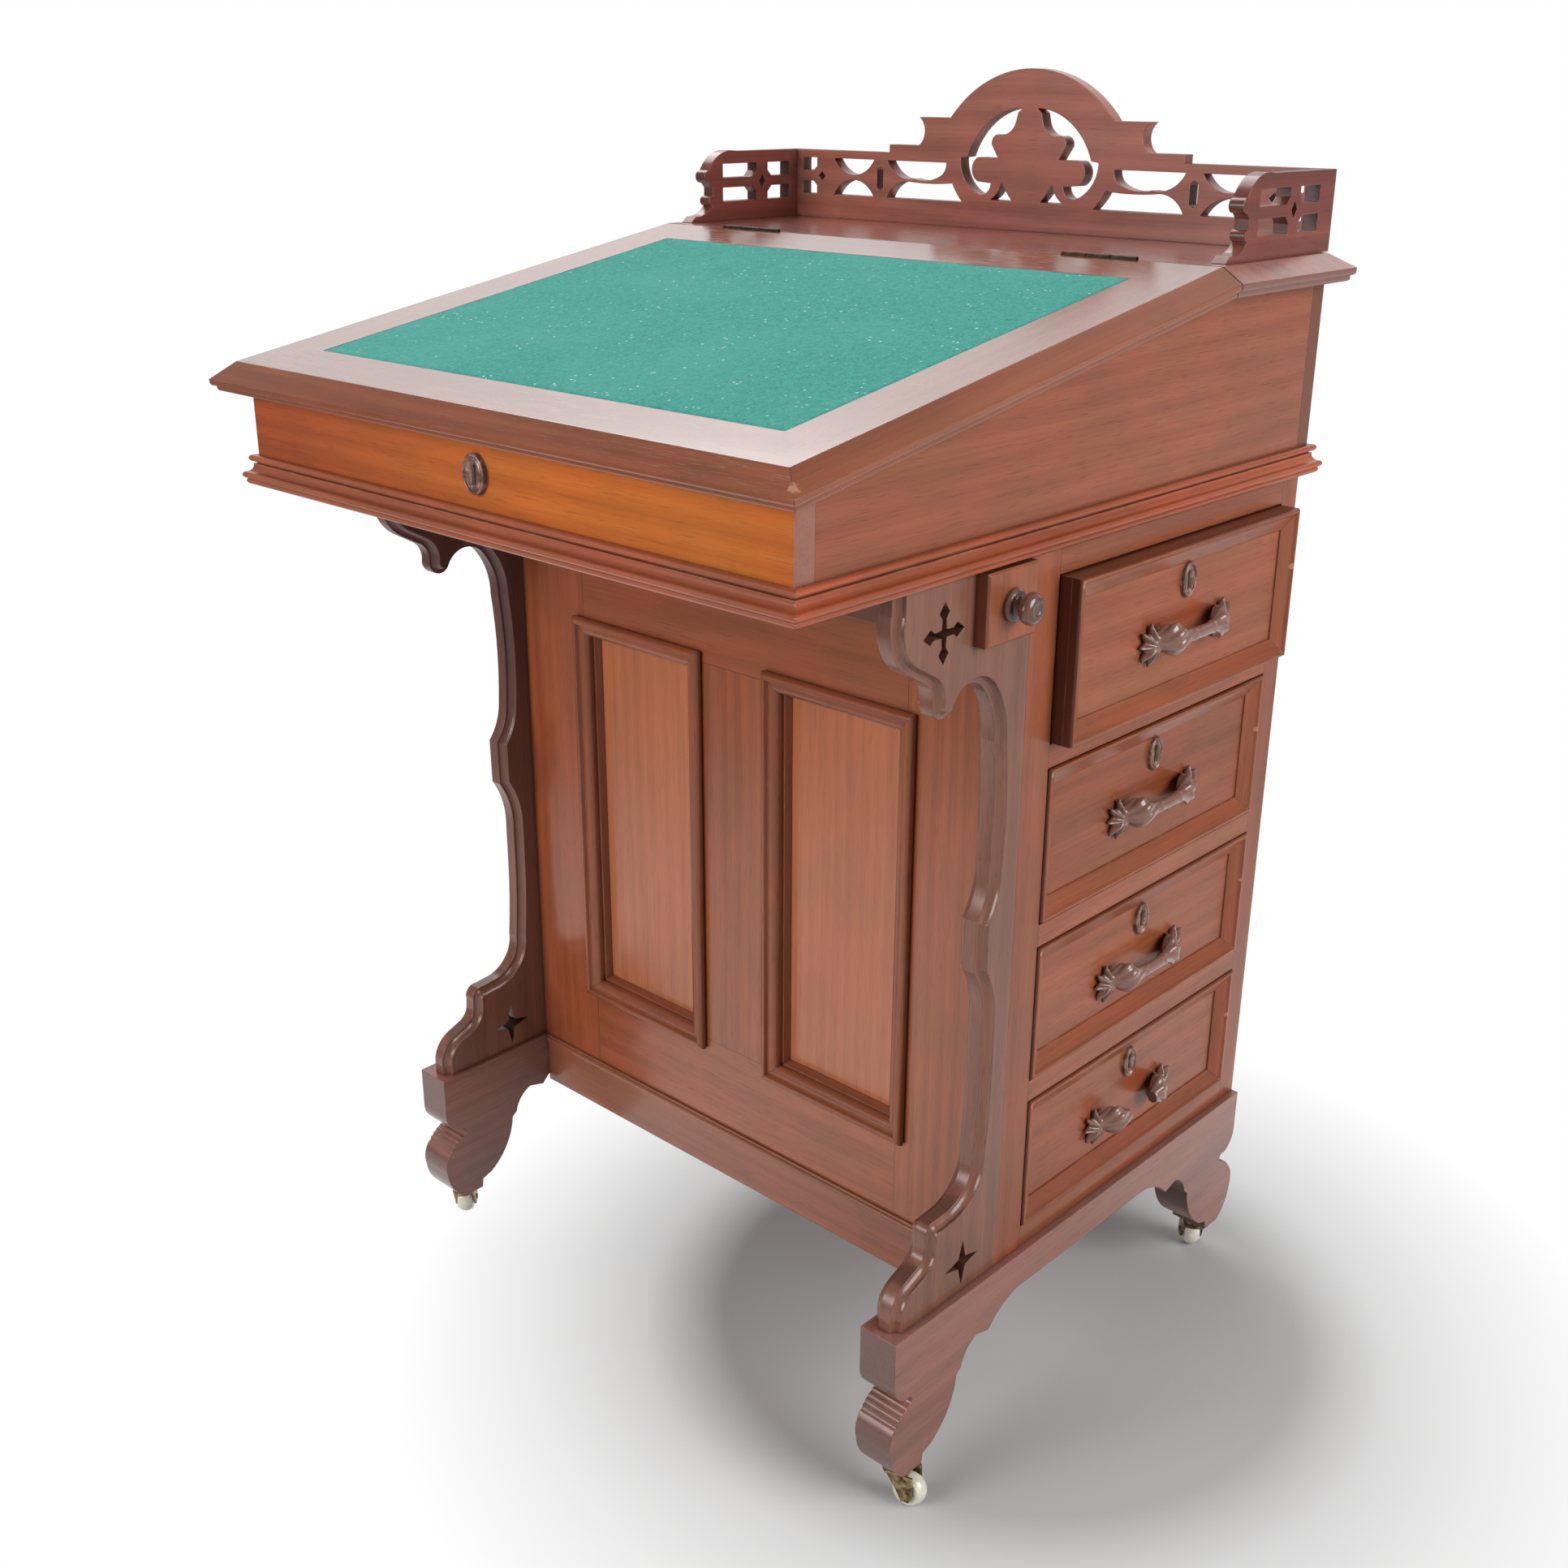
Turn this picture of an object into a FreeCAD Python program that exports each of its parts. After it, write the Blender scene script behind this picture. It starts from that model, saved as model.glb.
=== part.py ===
import FreeCAD, Part
import math
import os
from FreeCAD import Placement, Rotation
from FreeCAD import Vector as V

# Davenport desk. Millimetres. While it is built, x = 0 is the middle of the desk, y = 0 the front
# of the writing box with +y towards the back, and z = 0 the floor. The drawers pull towards +x.

# ---- writing box -------------------------------------------------------------------------------
box_width = 530.0
box_depth = 570.0
box_board = 16.0             # thickness of the box's front, sides and back
box_front_rise = 70.0        # front board, from its lower edge over the moulding's height
box_bottom_board = 10.0
foot_moulding_height = 21.0  # moulding round the foot of the box
foot_moulding_reach = 9.5
box_lock_left = 8.5          # the box's lock, from the middle of its front
box_lock_low = 1.5
box_plate_height = 27.0      # its keyhole plate
box_plate_width = 22.0
box_plate_depth = 4.0

# ---- lid and ledge -----------------------------------------------------------------------------
lid_slope = 9.7              # degrees
lid_thickness = 19.5
lid_side_reach = 19.6        # how far the lid and ledge pass the box sides
lid_front_reach = 22.3
ledge_run = 153.0            # flat top behind the hinge line, measured on the box
ledge_back_reach = 9.0
edge_bevel_in = 16.0
edge_bevel_drop = 10.3
lower_bead_height = 4.2      # lower of the two beads under the bevel
lower_bead_in = 3.0
lid_side_border = 60.3       # lid edge to cloth
lid_hinge_border = 45.0
lid_joint_gap = 1.0
baize_thickness = 1.2
hinge_barrel_radius = 2.2
hinge_barrel_clearance = 0.3
hinge_pin_clearance = 0.05
hinge_leaf_length = 62.0
hinge_leaf_width = 16.0
hinge_leaf_thickness = 1.6
hinge_spread = 340.0         # between the middles of the two hinges

# ---- pedestal ----------------------------------------------------------------------------------
case_height = 536.5
knee_depth = 220.0           # pedestal front behind the box front
case_back_inset = 8.0
side_board = 25.0            # pedestal sides
bracket_joint = 2.0          # bracket joint behind the pedestal front
front_board = 22.0
back_board = 18.0
panel_board = 12.0
panel_rebate = 8.0
centre_stile = 84.0
outer_stile = 71.0
front_top_rail = 136.5
front_bottom_rail = 75.0
panel_moulding_width = 18.0
panel_moulding_rise = 7.0
panel_moulding_lap = 8.0
front_stile_right = 30.0     # stile of the side frames beside the brackets
rear_stile_right = 22.0
side_bottom_rail = 18.0
side_top_rail = 19.5
drawer_rail = 17.0           # between two drawers

# ---- drawers, top one first --------------------------------------------------------------------
drawer_shares = [1.09, 1.09, 1.0, 1.0]  # heights, each against the lowest drawer's
top_drawer_open = 15.0       # the top drawer stands a little open
drawer_gap = 1.0             # round a drawer front
drawer_length = 430.0
drawer_front_board = 18.0
drawer_side_board = 10.0
drawer_bottom_board = 6.0
drawer_side_inset = 13.0     # drawer sides inside the front's ends
drawer_top_drop = 10.0       # drawer sides lower than the front
runner_depth = 12.0
runner_clearance = 0.3
front_bevel_width = 15.0
front_bevel_depth = 6.0
front_roll_radius = 2.2

# ---- handles and keyhole plates ----------------------------------------------------------------
handle_length = 122.0
leaf_width = 30.0
leaf_height = 34.0
leaf_depth = 9.0
handle_bow = 21.0            # how far the grip stands out
grip_height = 11.0
grip_depth = 8.0
grip_break = 34.0            # the lowest drawer's handle has lost this much of its grip
handle_below_top = 68.0      # middle of the handle below the top of the drawer front
keyhole_below_top = 29.0
plate_height = 26.0          # a drawer's keyhole plate
plate_width = 17.0
plate_depth = 3.0
keyhole_radius = 2.4
keyhole_length = 13.0
keyhole_depth = 14.0

# ---- pen drawer --------------------------------------------------------------------------------
pen_front_width = 51.0
pen_front_height = 47.5
pen_front_board = 10.0
pen_lip = 5.0                # front laps the bracket by this much
pen_length = 230.0
pen_wall = 5.0
pen_clearance = 0.6
pen_housing_wall = 6.0
knob_base_radius = 11.0
knob_radius = 10.5
knob_reach = 18.0

# ---- brackets ----------------------------------------------------------------------------------
bracket_board = 22.0
bracket_reach = 132.0        # at the top, in front of the bracket joint
bracket_stem = 22.0          # upright part in front of the bracket joint
bracket_toe = 114.0          # at the foot rail, in front of the bracket joint
bracket_cove = 6.0           # hollow run along both sides of the front edge
bracket_edge_least = 0.2
bracket_past = 20.0          # outline run on for the moulding
bracket_tab_drop = 217.5     # raised length of the stem, below the top
bracket_tab_length = 68.0
bracket_tab_reach = 13.0
dart_cross_drop = 33.5       # pierced cross, below the top
dart_cross_forward = 89.0
dart_cross_reach = 20.0
star_rise = 24.0             # pierced star, above the foot rail
star_forward = 41.0
star_reach = 19.0

# ---- foot rails and base -----------------------------------------------------------------------
foot_height = 123.0          # leg bottom to the top of the rail
foot_rail_thickness = 32.0
foot_rail_proud = 6.0        # outside the pedestal side
foot_forward = 119.0         # in front of the pedestal front
foot_web = 29.0              # rail between the feet
foot_block = 37.0            # plain block over the scroll
leg_bottom = 20.0
leg_setback = 14.0
scroll_reed = 4.6            # width of each of the reeds over the scroll
scroll_reed_depth = 0.9
base_rail_height = 46.0
base_rail_proud = 2.0
base_rail_thickness = 24.0
base_board_thickness = 12.0

# ---- casters -----------------------------------------------------------------------------------
caster_height = 34.0         # floor to the leg bottom
wheel_radius = 13.0
wheel_width = 13.5
tread_round = 3.0
caster_trail = 12.0
crown_clearance = 1.0        # over the wheel
crown_thickness = 2.5
axle_radius = 2.5
axle_clearance = 0.05
cheek_thickness = 2.2
cheek_gap = 0.5
socket_radius = 10.0
socket_thickness = 3.0
stem_radius = 4.0
stem_clearance = 0.05
stem_length = 30.0
swivel_gap = 0.3
caster_heading = {"front_right": -75.0, "front_left": 45.0, "rear_right": 40.0, "rear_left": 15.0}

# ---- gallery -----------------------------------------------------------------------------------
gallery_height = 57.0
gallery_board = 11.3
gallery_side_inset = 1.4     # outer face inside the box side
gallery_back_reach = 3.0     # behind the box back
gallery_side_length = 145.0
gallery_bottom_rail = 20.0
gallery_top_rail = 6.5
gallery_end_stile = 7.0
step_height = 63.5
shoulder_height = 86.0
shoulder_half = 113.0
step_half = 145.0
arch_height = 124.0
arch_half = 80.0

# ---- sizes that follow -------------------------------------------------------------------------
half_box = box_width / 2
rail_top = caster_height + foot_height
box_under = rail_top + case_height
box_front_top = box_under + box_front_rise
case_back = box_depth - case_back_inset
drawers_room = case_height - side_bottom_rail - side_top_rail - 3 * drawer_rail
drawer_heights = [share / sum(drawer_shares) * drawers_room for share in drawer_shares]
bracket_back = knee_depth + bracket_joint
inner_half = half_box - side_board
bracket_inner = half_box - bracket_board
hinge_y = box_depth - ledge_run
slope = math.radians(lid_slope)
ledge_under = box_front_top + hinge_y * math.tan(slope)
ledge_top = ledge_under + lid_thickness / math.cos(slope)
lid_half = half_box + lid_side_reach
lid_length = (hinge_y + lid_front_reach + edge_bevel_drop * math.sin(slope)) / math.cos(slope)
foot_front = knee_depth - foot_forward
foot_outer = half_box + foot_rail_proud
foot_inner = foot_outer - foot_rail_thickness
gallery_half = half_box - gallery_side_inset
gallery_back_y = box_depth + gallery_back_reach
gallery_front_y = gallery_back_y - gallery_board
right_reach = half_box + max(pen_front_board + knob_reach,
                             top_drawer_open + handle_bow - front_bevel_depth)
centre_x = (right_reach - lid_half) / 2
centre_y = (box_depth + ledge_back_reach - lid_front_reach) / 2


# ---- helpers -----------------------------------------------------------------------------------
def block(x0, x1, y0, y1, z0, z1):
    return Part.makeBox(x1 - x0, y1 - y0, z1 - z0, V(x0, y0, z0))


def rod(start, direction, radius, length):
    return Part.makeCylinder(radius, length, start, direction)


def outline(points, place):
    """Closed wire. A point is (a, b). A three-point arc from the last point is (mid, end)."""
    edges = []
    last = points[0]
    for point in points[1:] + points[:1]:
        if isinstance(point[0], tuple):
            mid, end = point
            edges.append(Part.Arc(place(*last), place(*mid), place(*end)).toShape())
            last = end
        else:
            if math.dist(last, point) > 1e-6:
                edges.append(Part.LineSegment(place(*last), place(*point)).toShape())
            last = point
    return Part.Wire(edges)


def side_plate(points, x0, x1):
    """Outline of (y, z) points made solid from x0 to x1."""
    face = Part.Face(outline(points, lambda y, z: V(x0, y, z)))
    return face.extrude(V(x1 - x0, 0, 0))


def front_plate(points, y0, y1):
    """Outline of (x, z) points made solid from y0 to y1."""
    face = Part.Face(outline(points, lambda x, z: V(x, y0, z)))
    return face.extrude(V(0, y1 - y0, 0))


def mirrored(points):
    """An outline given from the left to the middle, carried on to the right."""
    right = []
    flip = lambda p: (-p[0], p[1])
    ends = [p[1] if isinstance(p[0], tuple) else p for p in points]
    for i in range(len(points) - 1, 0, -1):
        if isinstance(points[i][0], tuple):
            right.append((flip(points[i][0]), flip(ends[i - 1])))
        else:
            right.append(flip(ends[i - 1]))
    return right


def mirror_x(shape):
    return shape.mirror(V(0, 0, 0), V(1, 0, 0))


def rectangle_at(x0, x1, y0, y1, z):
    return Part.makePolygon([V(x0, y0, z), V(x1, y0, z), V(x1, y1, z), V(x0, y1, z), V(x0, y0, z)])


def frame_run(section, corners, place):
    """Four mitred strips round a rectangle, from one (out, up) section.

    corners is (a0, a1, b0, b1); place(a, b, up) gives the point; out is away from the middle."""
    a0, a1, b0, b1 = corners
    spots = [q for p in section for q in (p if isinstance(p[0], tuple) else (p,))]
    far = max(abs(out) for out, up in spots) + 1
    low, high = min(up for out, up in spots) - 1, max(up for out, up in spots) + 1
    strips = []
    for turned, (c0, c1), (d, sign) in ((False, (a0, a1), (b0, -1)), (False, (a0, a1), (b1, 1)),
                                        (True, (b0, b1), (a0, -1)), (True, (b0, b1), (a1, 1))):
        at = (lambda c, e, up: place(e, c, up)) if turned else place
        profile = outline(section, lambda out, up: at(c0 - far, d + sign * out, up))
        strip = Part.Face(profile).extrude(at(c1 + far, d, 0) - at(c0 - far, d, 0))
        mitres = [(c0 - far, d + sign * far), (c1 + far, d + sign * far),
                  (c1 - far, d - sign * far), (c0 + far, d - sign * far)]
        between = Part.Face(outline(mitres, lambda c, e: at(c, e, low)))
        strips.append(strip.common(between.extrude(at(c0, d, high) - at(c0, d, low))))
    return strips


def bead_layer(x0, x1, y0, y1, low, high, rounded):
    """Flat layer whose lower edges are rounded on the named sides."""
    layer = block(x0, x1, y0, y1, low, high)
    at = {"left": lambda c: abs(c.x - x0), "right": lambda c: abs(c.x - x1),
          "front": lambda c: abs(c.y - y0), "back": lambda c: abs(c.y - y1)}
    edges = [e for e in layer.Edges if abs(e.CenterOfMass.z - low) < 1e-3
             and any(at[side](e.CenterOfMass) < 1e-3 for side in rounded)]
    return layer.makeFillet(0.45 * (high - low), edges)


def moulded_slab(x0, x1, y0, y1, top, thickness, bevelled):
    """Flat board with a bevel over two beads, the lower one set in, on the named sides."""
    def drawn_in(reach):
        left, right, front, back = (reach if side in bevelled else 0.0
                                    for side in ("left", "right", "front", "back"))
        return x0 + left, x1 - right, y0 + front, y1 - back
    low, mid = top - thickness, top - edge_bevel_drop
    between = low + lower_bead_height
    raised = Part.makeLoft([rectangle_at(*drawn_in(0.0), mid), rectangle_at(*drawn_in(edge_bevel_in), top)],
                           True, True)
    upper = bead_layer(*drawn_in(0.0), between, mid, bevelled)
    lower = bead_layer(*drawn_in(lower_bead_in), low, between, bevelled)
    return raised.multiFuse([upper, lower]).removeSplitter()


def keyhole(centre_a, centre_b, place, depth_vector):
    """Upright keyhole: a round hole over a slot that widens downwards."""
    r, drop = keyhole_radius, keyhole_length - keyhole_radius
    points = [(centre_a - 0.5 * r, centre_b - drop), (centre_a - 0.5 * r, centre_b),
              ((centre_a, centre_b + 1.6 * r), (centre_a + 0.5 * r, centre_b)),
              (centre_a + 0.5 * r, centre_b - drop)]
    return Part.Face(outline(points, place)).extrude(depth_vector)


def oval_plate(place, outward, width, height, depth):
    """Keyhole plate: an oval that narrows outwards, with its keyhole, built round (0, 0)."""
    rims = []
    for share, rise in ((1.0, 0.0), (1.0, 0.5 * depth), (0.85, depth)):
        a, b = 0.5 * share * width, 0.5 * share * height
        ellipse = Part.Ellipse(place(0, b), place(a, 0), place(0, 0))
        ellipse.translate(outward * rise)
        rims.append(Part.Wire([ellipse.toShape()]))
    hole = keyhole(0, 0.25 * keyhole_length, lambda u, w: place(u, w) - outward, outward * (depth + 2))
    return Part.makeLoft(rims, True, True).cut(hole)


# ---- foot rails, base and casters --------------------------------------------------------------
def foot_profile(end, heading):
    """One scroll foot as (y, z) points from the rail's top corner to the arch under the rail."""
    def at(s, h):
        return (end + heading * s, caster_height + h)
    top, web = foot_height, foot_height - foot_web
    block_low = top - foot_block
    heel = leg_setback + leg_bottom
    notch = block_low - 17.5
    reeds = []
    s, h = 15, notch - 7.5
    for fall in (30, 38, 46, 54):
        run, drop = math.cos(math.radians(fall)), math.sin(math.radians(fall))
        mid = (s - 0.5 * scroll_reed * run + scroll_reed_depth * drop,
               h - 0.5 * scroll_reed * drop - scroll_reed_depth * run)
        s, h = s - scroll_reed * run, h - scroll_reed * drop
        reeds.append((at(*mid), at(s, h)))
    block_end = [at(0, top), at(0, block_low), (at(3.5, block_low - 10), at(14, notch)),
                 (at(20.5, notch - 3.5), at(15, notch - 7.5))]
    scroll = [(at(-2.5, 0.5 * h + 17), at(-2.5, 28)), (at(1.5, 14), at(leg_setback, 0)), at(heel, 0),
              at(heel + 1, 8), at(heel + 11, 11.5), (at(64, 31), at(72, 56)), at(77, 60),
              (at(83, 72), at(94, 79)), at(109, 75), (at(119, web - 10), at(143, web))]
    return block_end + reeds + scroll


def foot_rail():
    front = foot_profile(foot_front, 1)
    back = foot_profile(case_back, -1)
    ends = [p[1] if isinstance(p[0], tuple) else p for p in back]
    returned = [ends[-1]]
    for i in range(len(back) - 1, 0, -1):
        returned.append((back[i][0], ends[i - 1]) if isinstance(back[i][0], tuple) else ends[i - 1])
    return side_plate(front + returned, foot_inner, foot_outer)


def leg_points():
    """Middles of the leg bottoms."""
    x = 0.5 * (foot_inner + foot_outer)
    middle = leg_setback + 0.5 * leg_bottom
    return {"front_left": V(-x, foot_front + middle, caster_height),
            "front_right": V(x, foot_front + middle, caster_height),
            "rear_left": V(-x, case_back - middle, caster_height),
            "rear_right": V(x, case_back - middle, caster_height)}


def drilled_foot_rail(side):
    rail = foot_rail() if side == "right" else mirror_x(foot_rail())
    for name, point in leg_points().items():
        if name.endswith(side):
            rail = rail.cut(rod(point - V(0, 0, 1), V(0, 0, 1), stem_radius + stem_clearance, stem_length + 2))
    return rail


def base_front_rail():
    y0 = knee_depth - base_rail_proud
    rail = block(-foot_inner, foot_inner, y0, y0 + base_rail_thickness, rail_top - base_rail_height, rail_top)
    bead = rod(V(-foot_inner, y0, rail_top - 4), V(1, 0, 0), 2, 2 * foot_inner)
    return rail.fuse(bead)


def base_board():
    y0 = knee_depth - base_rail_proud + base_rail_thickness
    y1 = case_back - base_rail_thickness
    board = block(-foot_inner, foot_inner, y0, y1, rail_top - base_board_thickness, rail_top)
    rail = block(-foot_inner, foot_inner, y1, case_back, rail_top - base_rail_height, rail_top)
    return Part.makeCompound([board, rail])


def caster_sockets():
    sockets = []
    for point in leg_points().values():
        plate = rod(point - V(0, 0, socket_thickness), V(0, 0, 1), socket_radius, socket_thickness)
        sockets.append(plate.cut(rod(point - V(0, 0, 10), V(0, 0, 1), stem_radius + stem_clearance, 20)))
    return Part.makeCompound(sockets)


def caster_fork():
    """Stem, crown and two cheeks with the axle; the swivel axis is x = y = 0 and z = 0 the floor."""
    crown_top = caster_height - socket_thickness - swivel_gap
    crown_low = 2 * wheel_radius + crown_clearance
    crown_mid = crown_low + crown_thickness
    inner = 0.5 * wheel_width + cheek_gap
    outer = inner + cheek_thickness
    top = caster_height + stem_length
    section = [(0, crown_low), (outer, crown_low), (outer, crown_mid), (stem_radius + 3, crown_top),
               (stem_radius, crown_top), (stem_radius, top), (0, top)]
    spindle = Part.Face(outline(section, lambda r, z: V(r, 0, z))).revolve(V(0, 0, 0), V(0, 0, 1), 360)
    bridge = block(-outer, outer, 0, caster_trail, crown_low, crown_mid)
    cheeks = []
    for x0 in (-outer, inner):
        points = [(-4, crown_mid), (caster_trail + 5, crown_mid), (caster_trail + 6, wheel_radius),
                  (caster_trail + 3, wheel_radius - 6), (caster_trail - 3, wheel_radius - 6),
                  (caster_trail - 8, wheel_radius + 4)]
        cheeks.append(side_plate(points, x0, x0 + cheek_thickness))
    axle = rod(V(-outer - 1, caster_trail, wheel_radius), V(1, 0, 0), axle_radius, 2 * outer + 2)
    return spindle.multiFuse([bridge, axle] + cheeks).removeSplitter()


def caster_wheel():
    half = 0.5 * wheel_width
    rim = wheel_radius - tread_round
    section = [(axle_radius + axle_clearance, -half), (rim, -half), ((wheel_radius, 0), (rim, half)),
               (axle_radius + axle_clearance, half)]
    face = Part.Face(outline(section, lambda r, x: V(x, caster_trail, wheel_radius + r)))
    return face.revolve(V(0, caster_trail, wheel_radius), V(1, 0, 0), 360)


# ---- pedestal ----------------------------------------------------------------------------------
def front_openings():
    """The two panel openings of the pedestal front as (x0, x1, z0, z1)."""
    x0, x1 = 0.5 * centre_stile, inner_half - outer_stile
    z0, z1 = rail_top + front_bottom_rail, box_under - front_top_rail
    return [(-x1, -x0, z0, z1), (x0, x1, z0, z1)]


def front_frame():
    """Rails and stiles; the outer stiles lap the edges of the side frames as far as the brackets."""
    frame = block(-inner_half, inner_half, knee_depth, knee_depth + front_board, rail_top, box_under)
    frame = frame.fuse(block(-bracket_inner, bracket_inner, knee_depth, bracket_back, rail_top, box_under))
    back = knee_depth + front_board
    lap = panel_rebate
    for x0, x1, z0, z1 in front_openings():
        frame = frame.cut(block(x0, x1, knee_depth - 1, back + 1, z0, z1))
        frame = frame.cut(block(x0 - lap, x1 + lap, back - panel_board, back + 1, z0 - lap, z1 + lap))
    return frame


def front_panels():
    back = knee_depth + front_board
    lap = panel_rebate
    return Part.makeCompound([block(x0 - lap, x1 + lap, back - panel_board, back, z0 - lap, z1 + lap)
                              for x0, x1, z0, z1 in front_openings()])


def front_mouldings():
    """Bolection moulding: a proud roll outside, stepping down to the panel inside."""
    lap, inner = panel_moulding_lap, panel_moulding_lap - panel_moulding_width
    rise, sunk = panel_moulding_rise, panel_board - front_board
    section = [(lap, 0), ((lap + 0.8, 0.6 * rise), (0.45 * lap, rise)), (0.25 * lap, 0.55 * rise),
               ((0.45 * inner, 0.35 * rise), (0.6 * inner, 0.4 * sunk)), (0.75 * inner, 0.4 * sunk),
               (inner, sunk), (0, sunk), (0, 0)]
    place = lambda x, z, up: V(x, knee_depth - up, z)
    return Part.makeCompound([strip for corners in front_openings()
                              for strip in frame_run(section, corners, place)])


def back_frame():
    frame = block(-inner_half, inner_half, case_back - back_board, case_back, rail_top, box_under)
    lap = panel_rebate
    x1 = inner_half - outer_stile
    z0, z1 = rail_top + front_bottom_rail, box_under - front_bottom_rail
    frame = frame.cut(block(-x1, x1, case_back - back_board - 1, case_back + 1, z0, z1))
    y1 = case_back - back_board + panel_board
    opening = block(-x1 - lap, x1 + lap, case_back - back_board - 1, y1, z0 - lap, z1 + lap)
    panel = block(-x1 - lap, x1 + lap, case_back - back_board, y1, z0 - lap, z1 + lap)
    return Part.makeCompound([frame.cut(opening), panel])


def drawer_openings():
    """Each drawer's opening in the side frame as (z0, z1), top one first."""
    z0 = rail_top + side_bottom_rail
    rows = []
    for height in reversed(drawer_heights):
        rows.insert(0, (z0, z0 + height))
        z0 += height + drawer_rail
    return rows


def side_frame():
    frame = block(inner_half, half_box, bracket_back, case_back, rail_top, box_under)
    y0, y1 = bracket_back + front_stile_right, case_back - rear_stile_right
    for z0, z1 in drawer_openings():
        frame = frame.cut(block(inner_half - 1, half_box + 1, y0, y1, z0, z1))
    return frame


def drawer_front_at(z0, z1, gap):
    """Front board with mitred strips round it: a small roll outside, sloping down to the flat."""
    y0 = bracket_back + front_stile_right + gap
    y1 = case_back - rear_stile_right - gap
    low, high = z0 + gap, z1 - gap
    board = block(half_box - drawer_front_board, half_box - front_bevel_depth, y0, y1, low, high)
    hole = keyhole(0.5 * (y0 + y1), z1 - keyhole_below_top + 0.25 * keyhole_length,
                   lambda y, z: V(half_box - keyhole_depth, y, z), V(keyhole_depth, 0, 0))
    r = front_roll_radius
    section = [(0, -front_bevel_depth), (0, 0), (-0.4 * r, 0.8 * r), (-1.2 * r, 0.9 * r), (-2 * r, 0),
               (-front_bevel_width, 1 - front_bevel_depth), (-front_bevel_width, -front_bevel_depth)]
    strips = frame_run(section, (y0, y1, low, high), lambda y, z, up: V(half_box + up, y, z))
    return Part.makeCompound([board.cut(hole)] + strips)


def drawer_box_at(z0, z1):
    """Two sides, back and bottom behind a drawer front."""
    y0 = bracket_back + front_stile_right + drawer_gap + drawer_side_inset
    y1 = case_back - rear_stile_right - drawer_gap - drawer_side_inset
    low, high = z0 + drawer_gap, z1 - drawer_gap - drawer_top_drop
    x1 = half_box - drawer_front_board
    x0 = x1 - drawer_length
    t, floor = drawer_side_board, low + drawer_bottom_board
    return Part.makeCompound([block(x0, x1, y0, y0 + t, low, high), block(x0, x1, y1 - t, y1, low, high),
                              block(x0, x0 + t, y0 + t, y1 - t, floor, high),
                              block(x0, x1, y0 + t, y1 - t, low, floor)])


def drawer_runners():
    """Under each drawer side an L-shaped bar from the side frame to the far one."""
    bars = []
    side_low = bracket_back + front_stile_right + drawer_gap + drawer_side_inset
    side_high = case_back - rear_stile_right - drawer_gap - drawer_side_inset
    for z0, z1 in drawer_openings():
        top = z0 + drawer_gap - runner_clearance
        for wall, side, turn in ((knee_depth + front_board, side_low, 1),
                                 (case_back - back_board, side_high, -1)):
            shelf = sorted((wall, side + turn * drawer_side_board))
            guide = sorted((wall, side - turn * runner_clearance))
            bar = block(-inner_half, inner_half, shelf[0], shelf[1], top - runner_depth, top)
            bars.append(bar.fuse(block(-inner_half, inner_half, guide[0], guide[1], top, top + runner_depth)))
    return Part.makeCompound(bars)


def keyhole_plate(x, z):
    y = 0.5 * (bracket_back + front_stile_right + case_back - rear_stile_right)
    return oval_plate(lambda u, w: V(x, y + u, z + w), V(1, 0, 0), plate_width, plate_height, plate_depth)


def leaf(y, z, heading):
    """Carved leaf end: pointed lobes that rise to a small crown."""
    w, h = 0.5 * leaf_width, 0.5 * leaf_height
    lobes = [(w, -0.35 * h), (w, 0.4 * h), (0.65 * w, 0.75 * h), (0.2 * w, h), (-0.1 * w, 0.6 * h),
             (-0.6 * w, 0.85 * h), (-0.6 * w, 0.35 * h), (-w, 0.15 * h), (-0.8 * w, -0.5 * h),
             (-0.3 * w, -0.7 * h), (0.2 * w, -0.95 * h)]
    wires = [outline([(share * a, share * b) for a, b in lobes], lambda u, v, x=x: V(x, y + heading * u, z + v))
             for share, x in ((1.0, 0.0), (1.0, 0.35 * leaf_depth), (0.5, leaf_depth))]
    return Part.makeLoft(wires, True, True)


def handle_at(z, lost=0.0):
    """Two leaves and the bowed grip between them, on the face x = 0; lost is what its middle lacks."""
    y = 0.5 * (bracket_back + front_stile_right + case_back - rear_stile_right)
    reach = 0.5 * handle_length - 0.5 * leaf_width
    half, low = reach - 0.1 * leaf_width, z - 0.5 * grip_height
    bow = Part.Face(outline([(-half, 0), ((0, handle_bow), (half, 0)), (half - grip_depth, 0),
                             ((0, handle_bow - grip_depth), (grip_depth - half, 0))],
                            lambda u, x: V(x, y + u, low)))
    grip = bow.extrude(V(0, 0, grip_height))
    outer = [e for e in grip.Edges if e.Length > half and e.BoundBox.XMax > handle_bow - 1]
    grip = grip.makeChamfer(0.3 * grip_depth, outer)
    leaves = [leaf(y - reach, z, 1), leaf(y + reach, z, -1)]
    if lost:
        grip = grip.cut(block(-1, handle_bow + 1, y - 0.5 * lost, y + 0.5 * lost, low - 1, z + grip_height))
        return Part.makeCompound([leaf_end.fuse(stub) for leaf_end, stub
                                  in zip(leaves, sorted(grip.Solids, key=lambda stub: stub.CenterOfMass.y))])
    return grip.multiFuse(leaves)


def shifted(shape, x):
    moved = shape.copy()
    moved.translate(V(x, 0, 0))
    return moved


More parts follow.
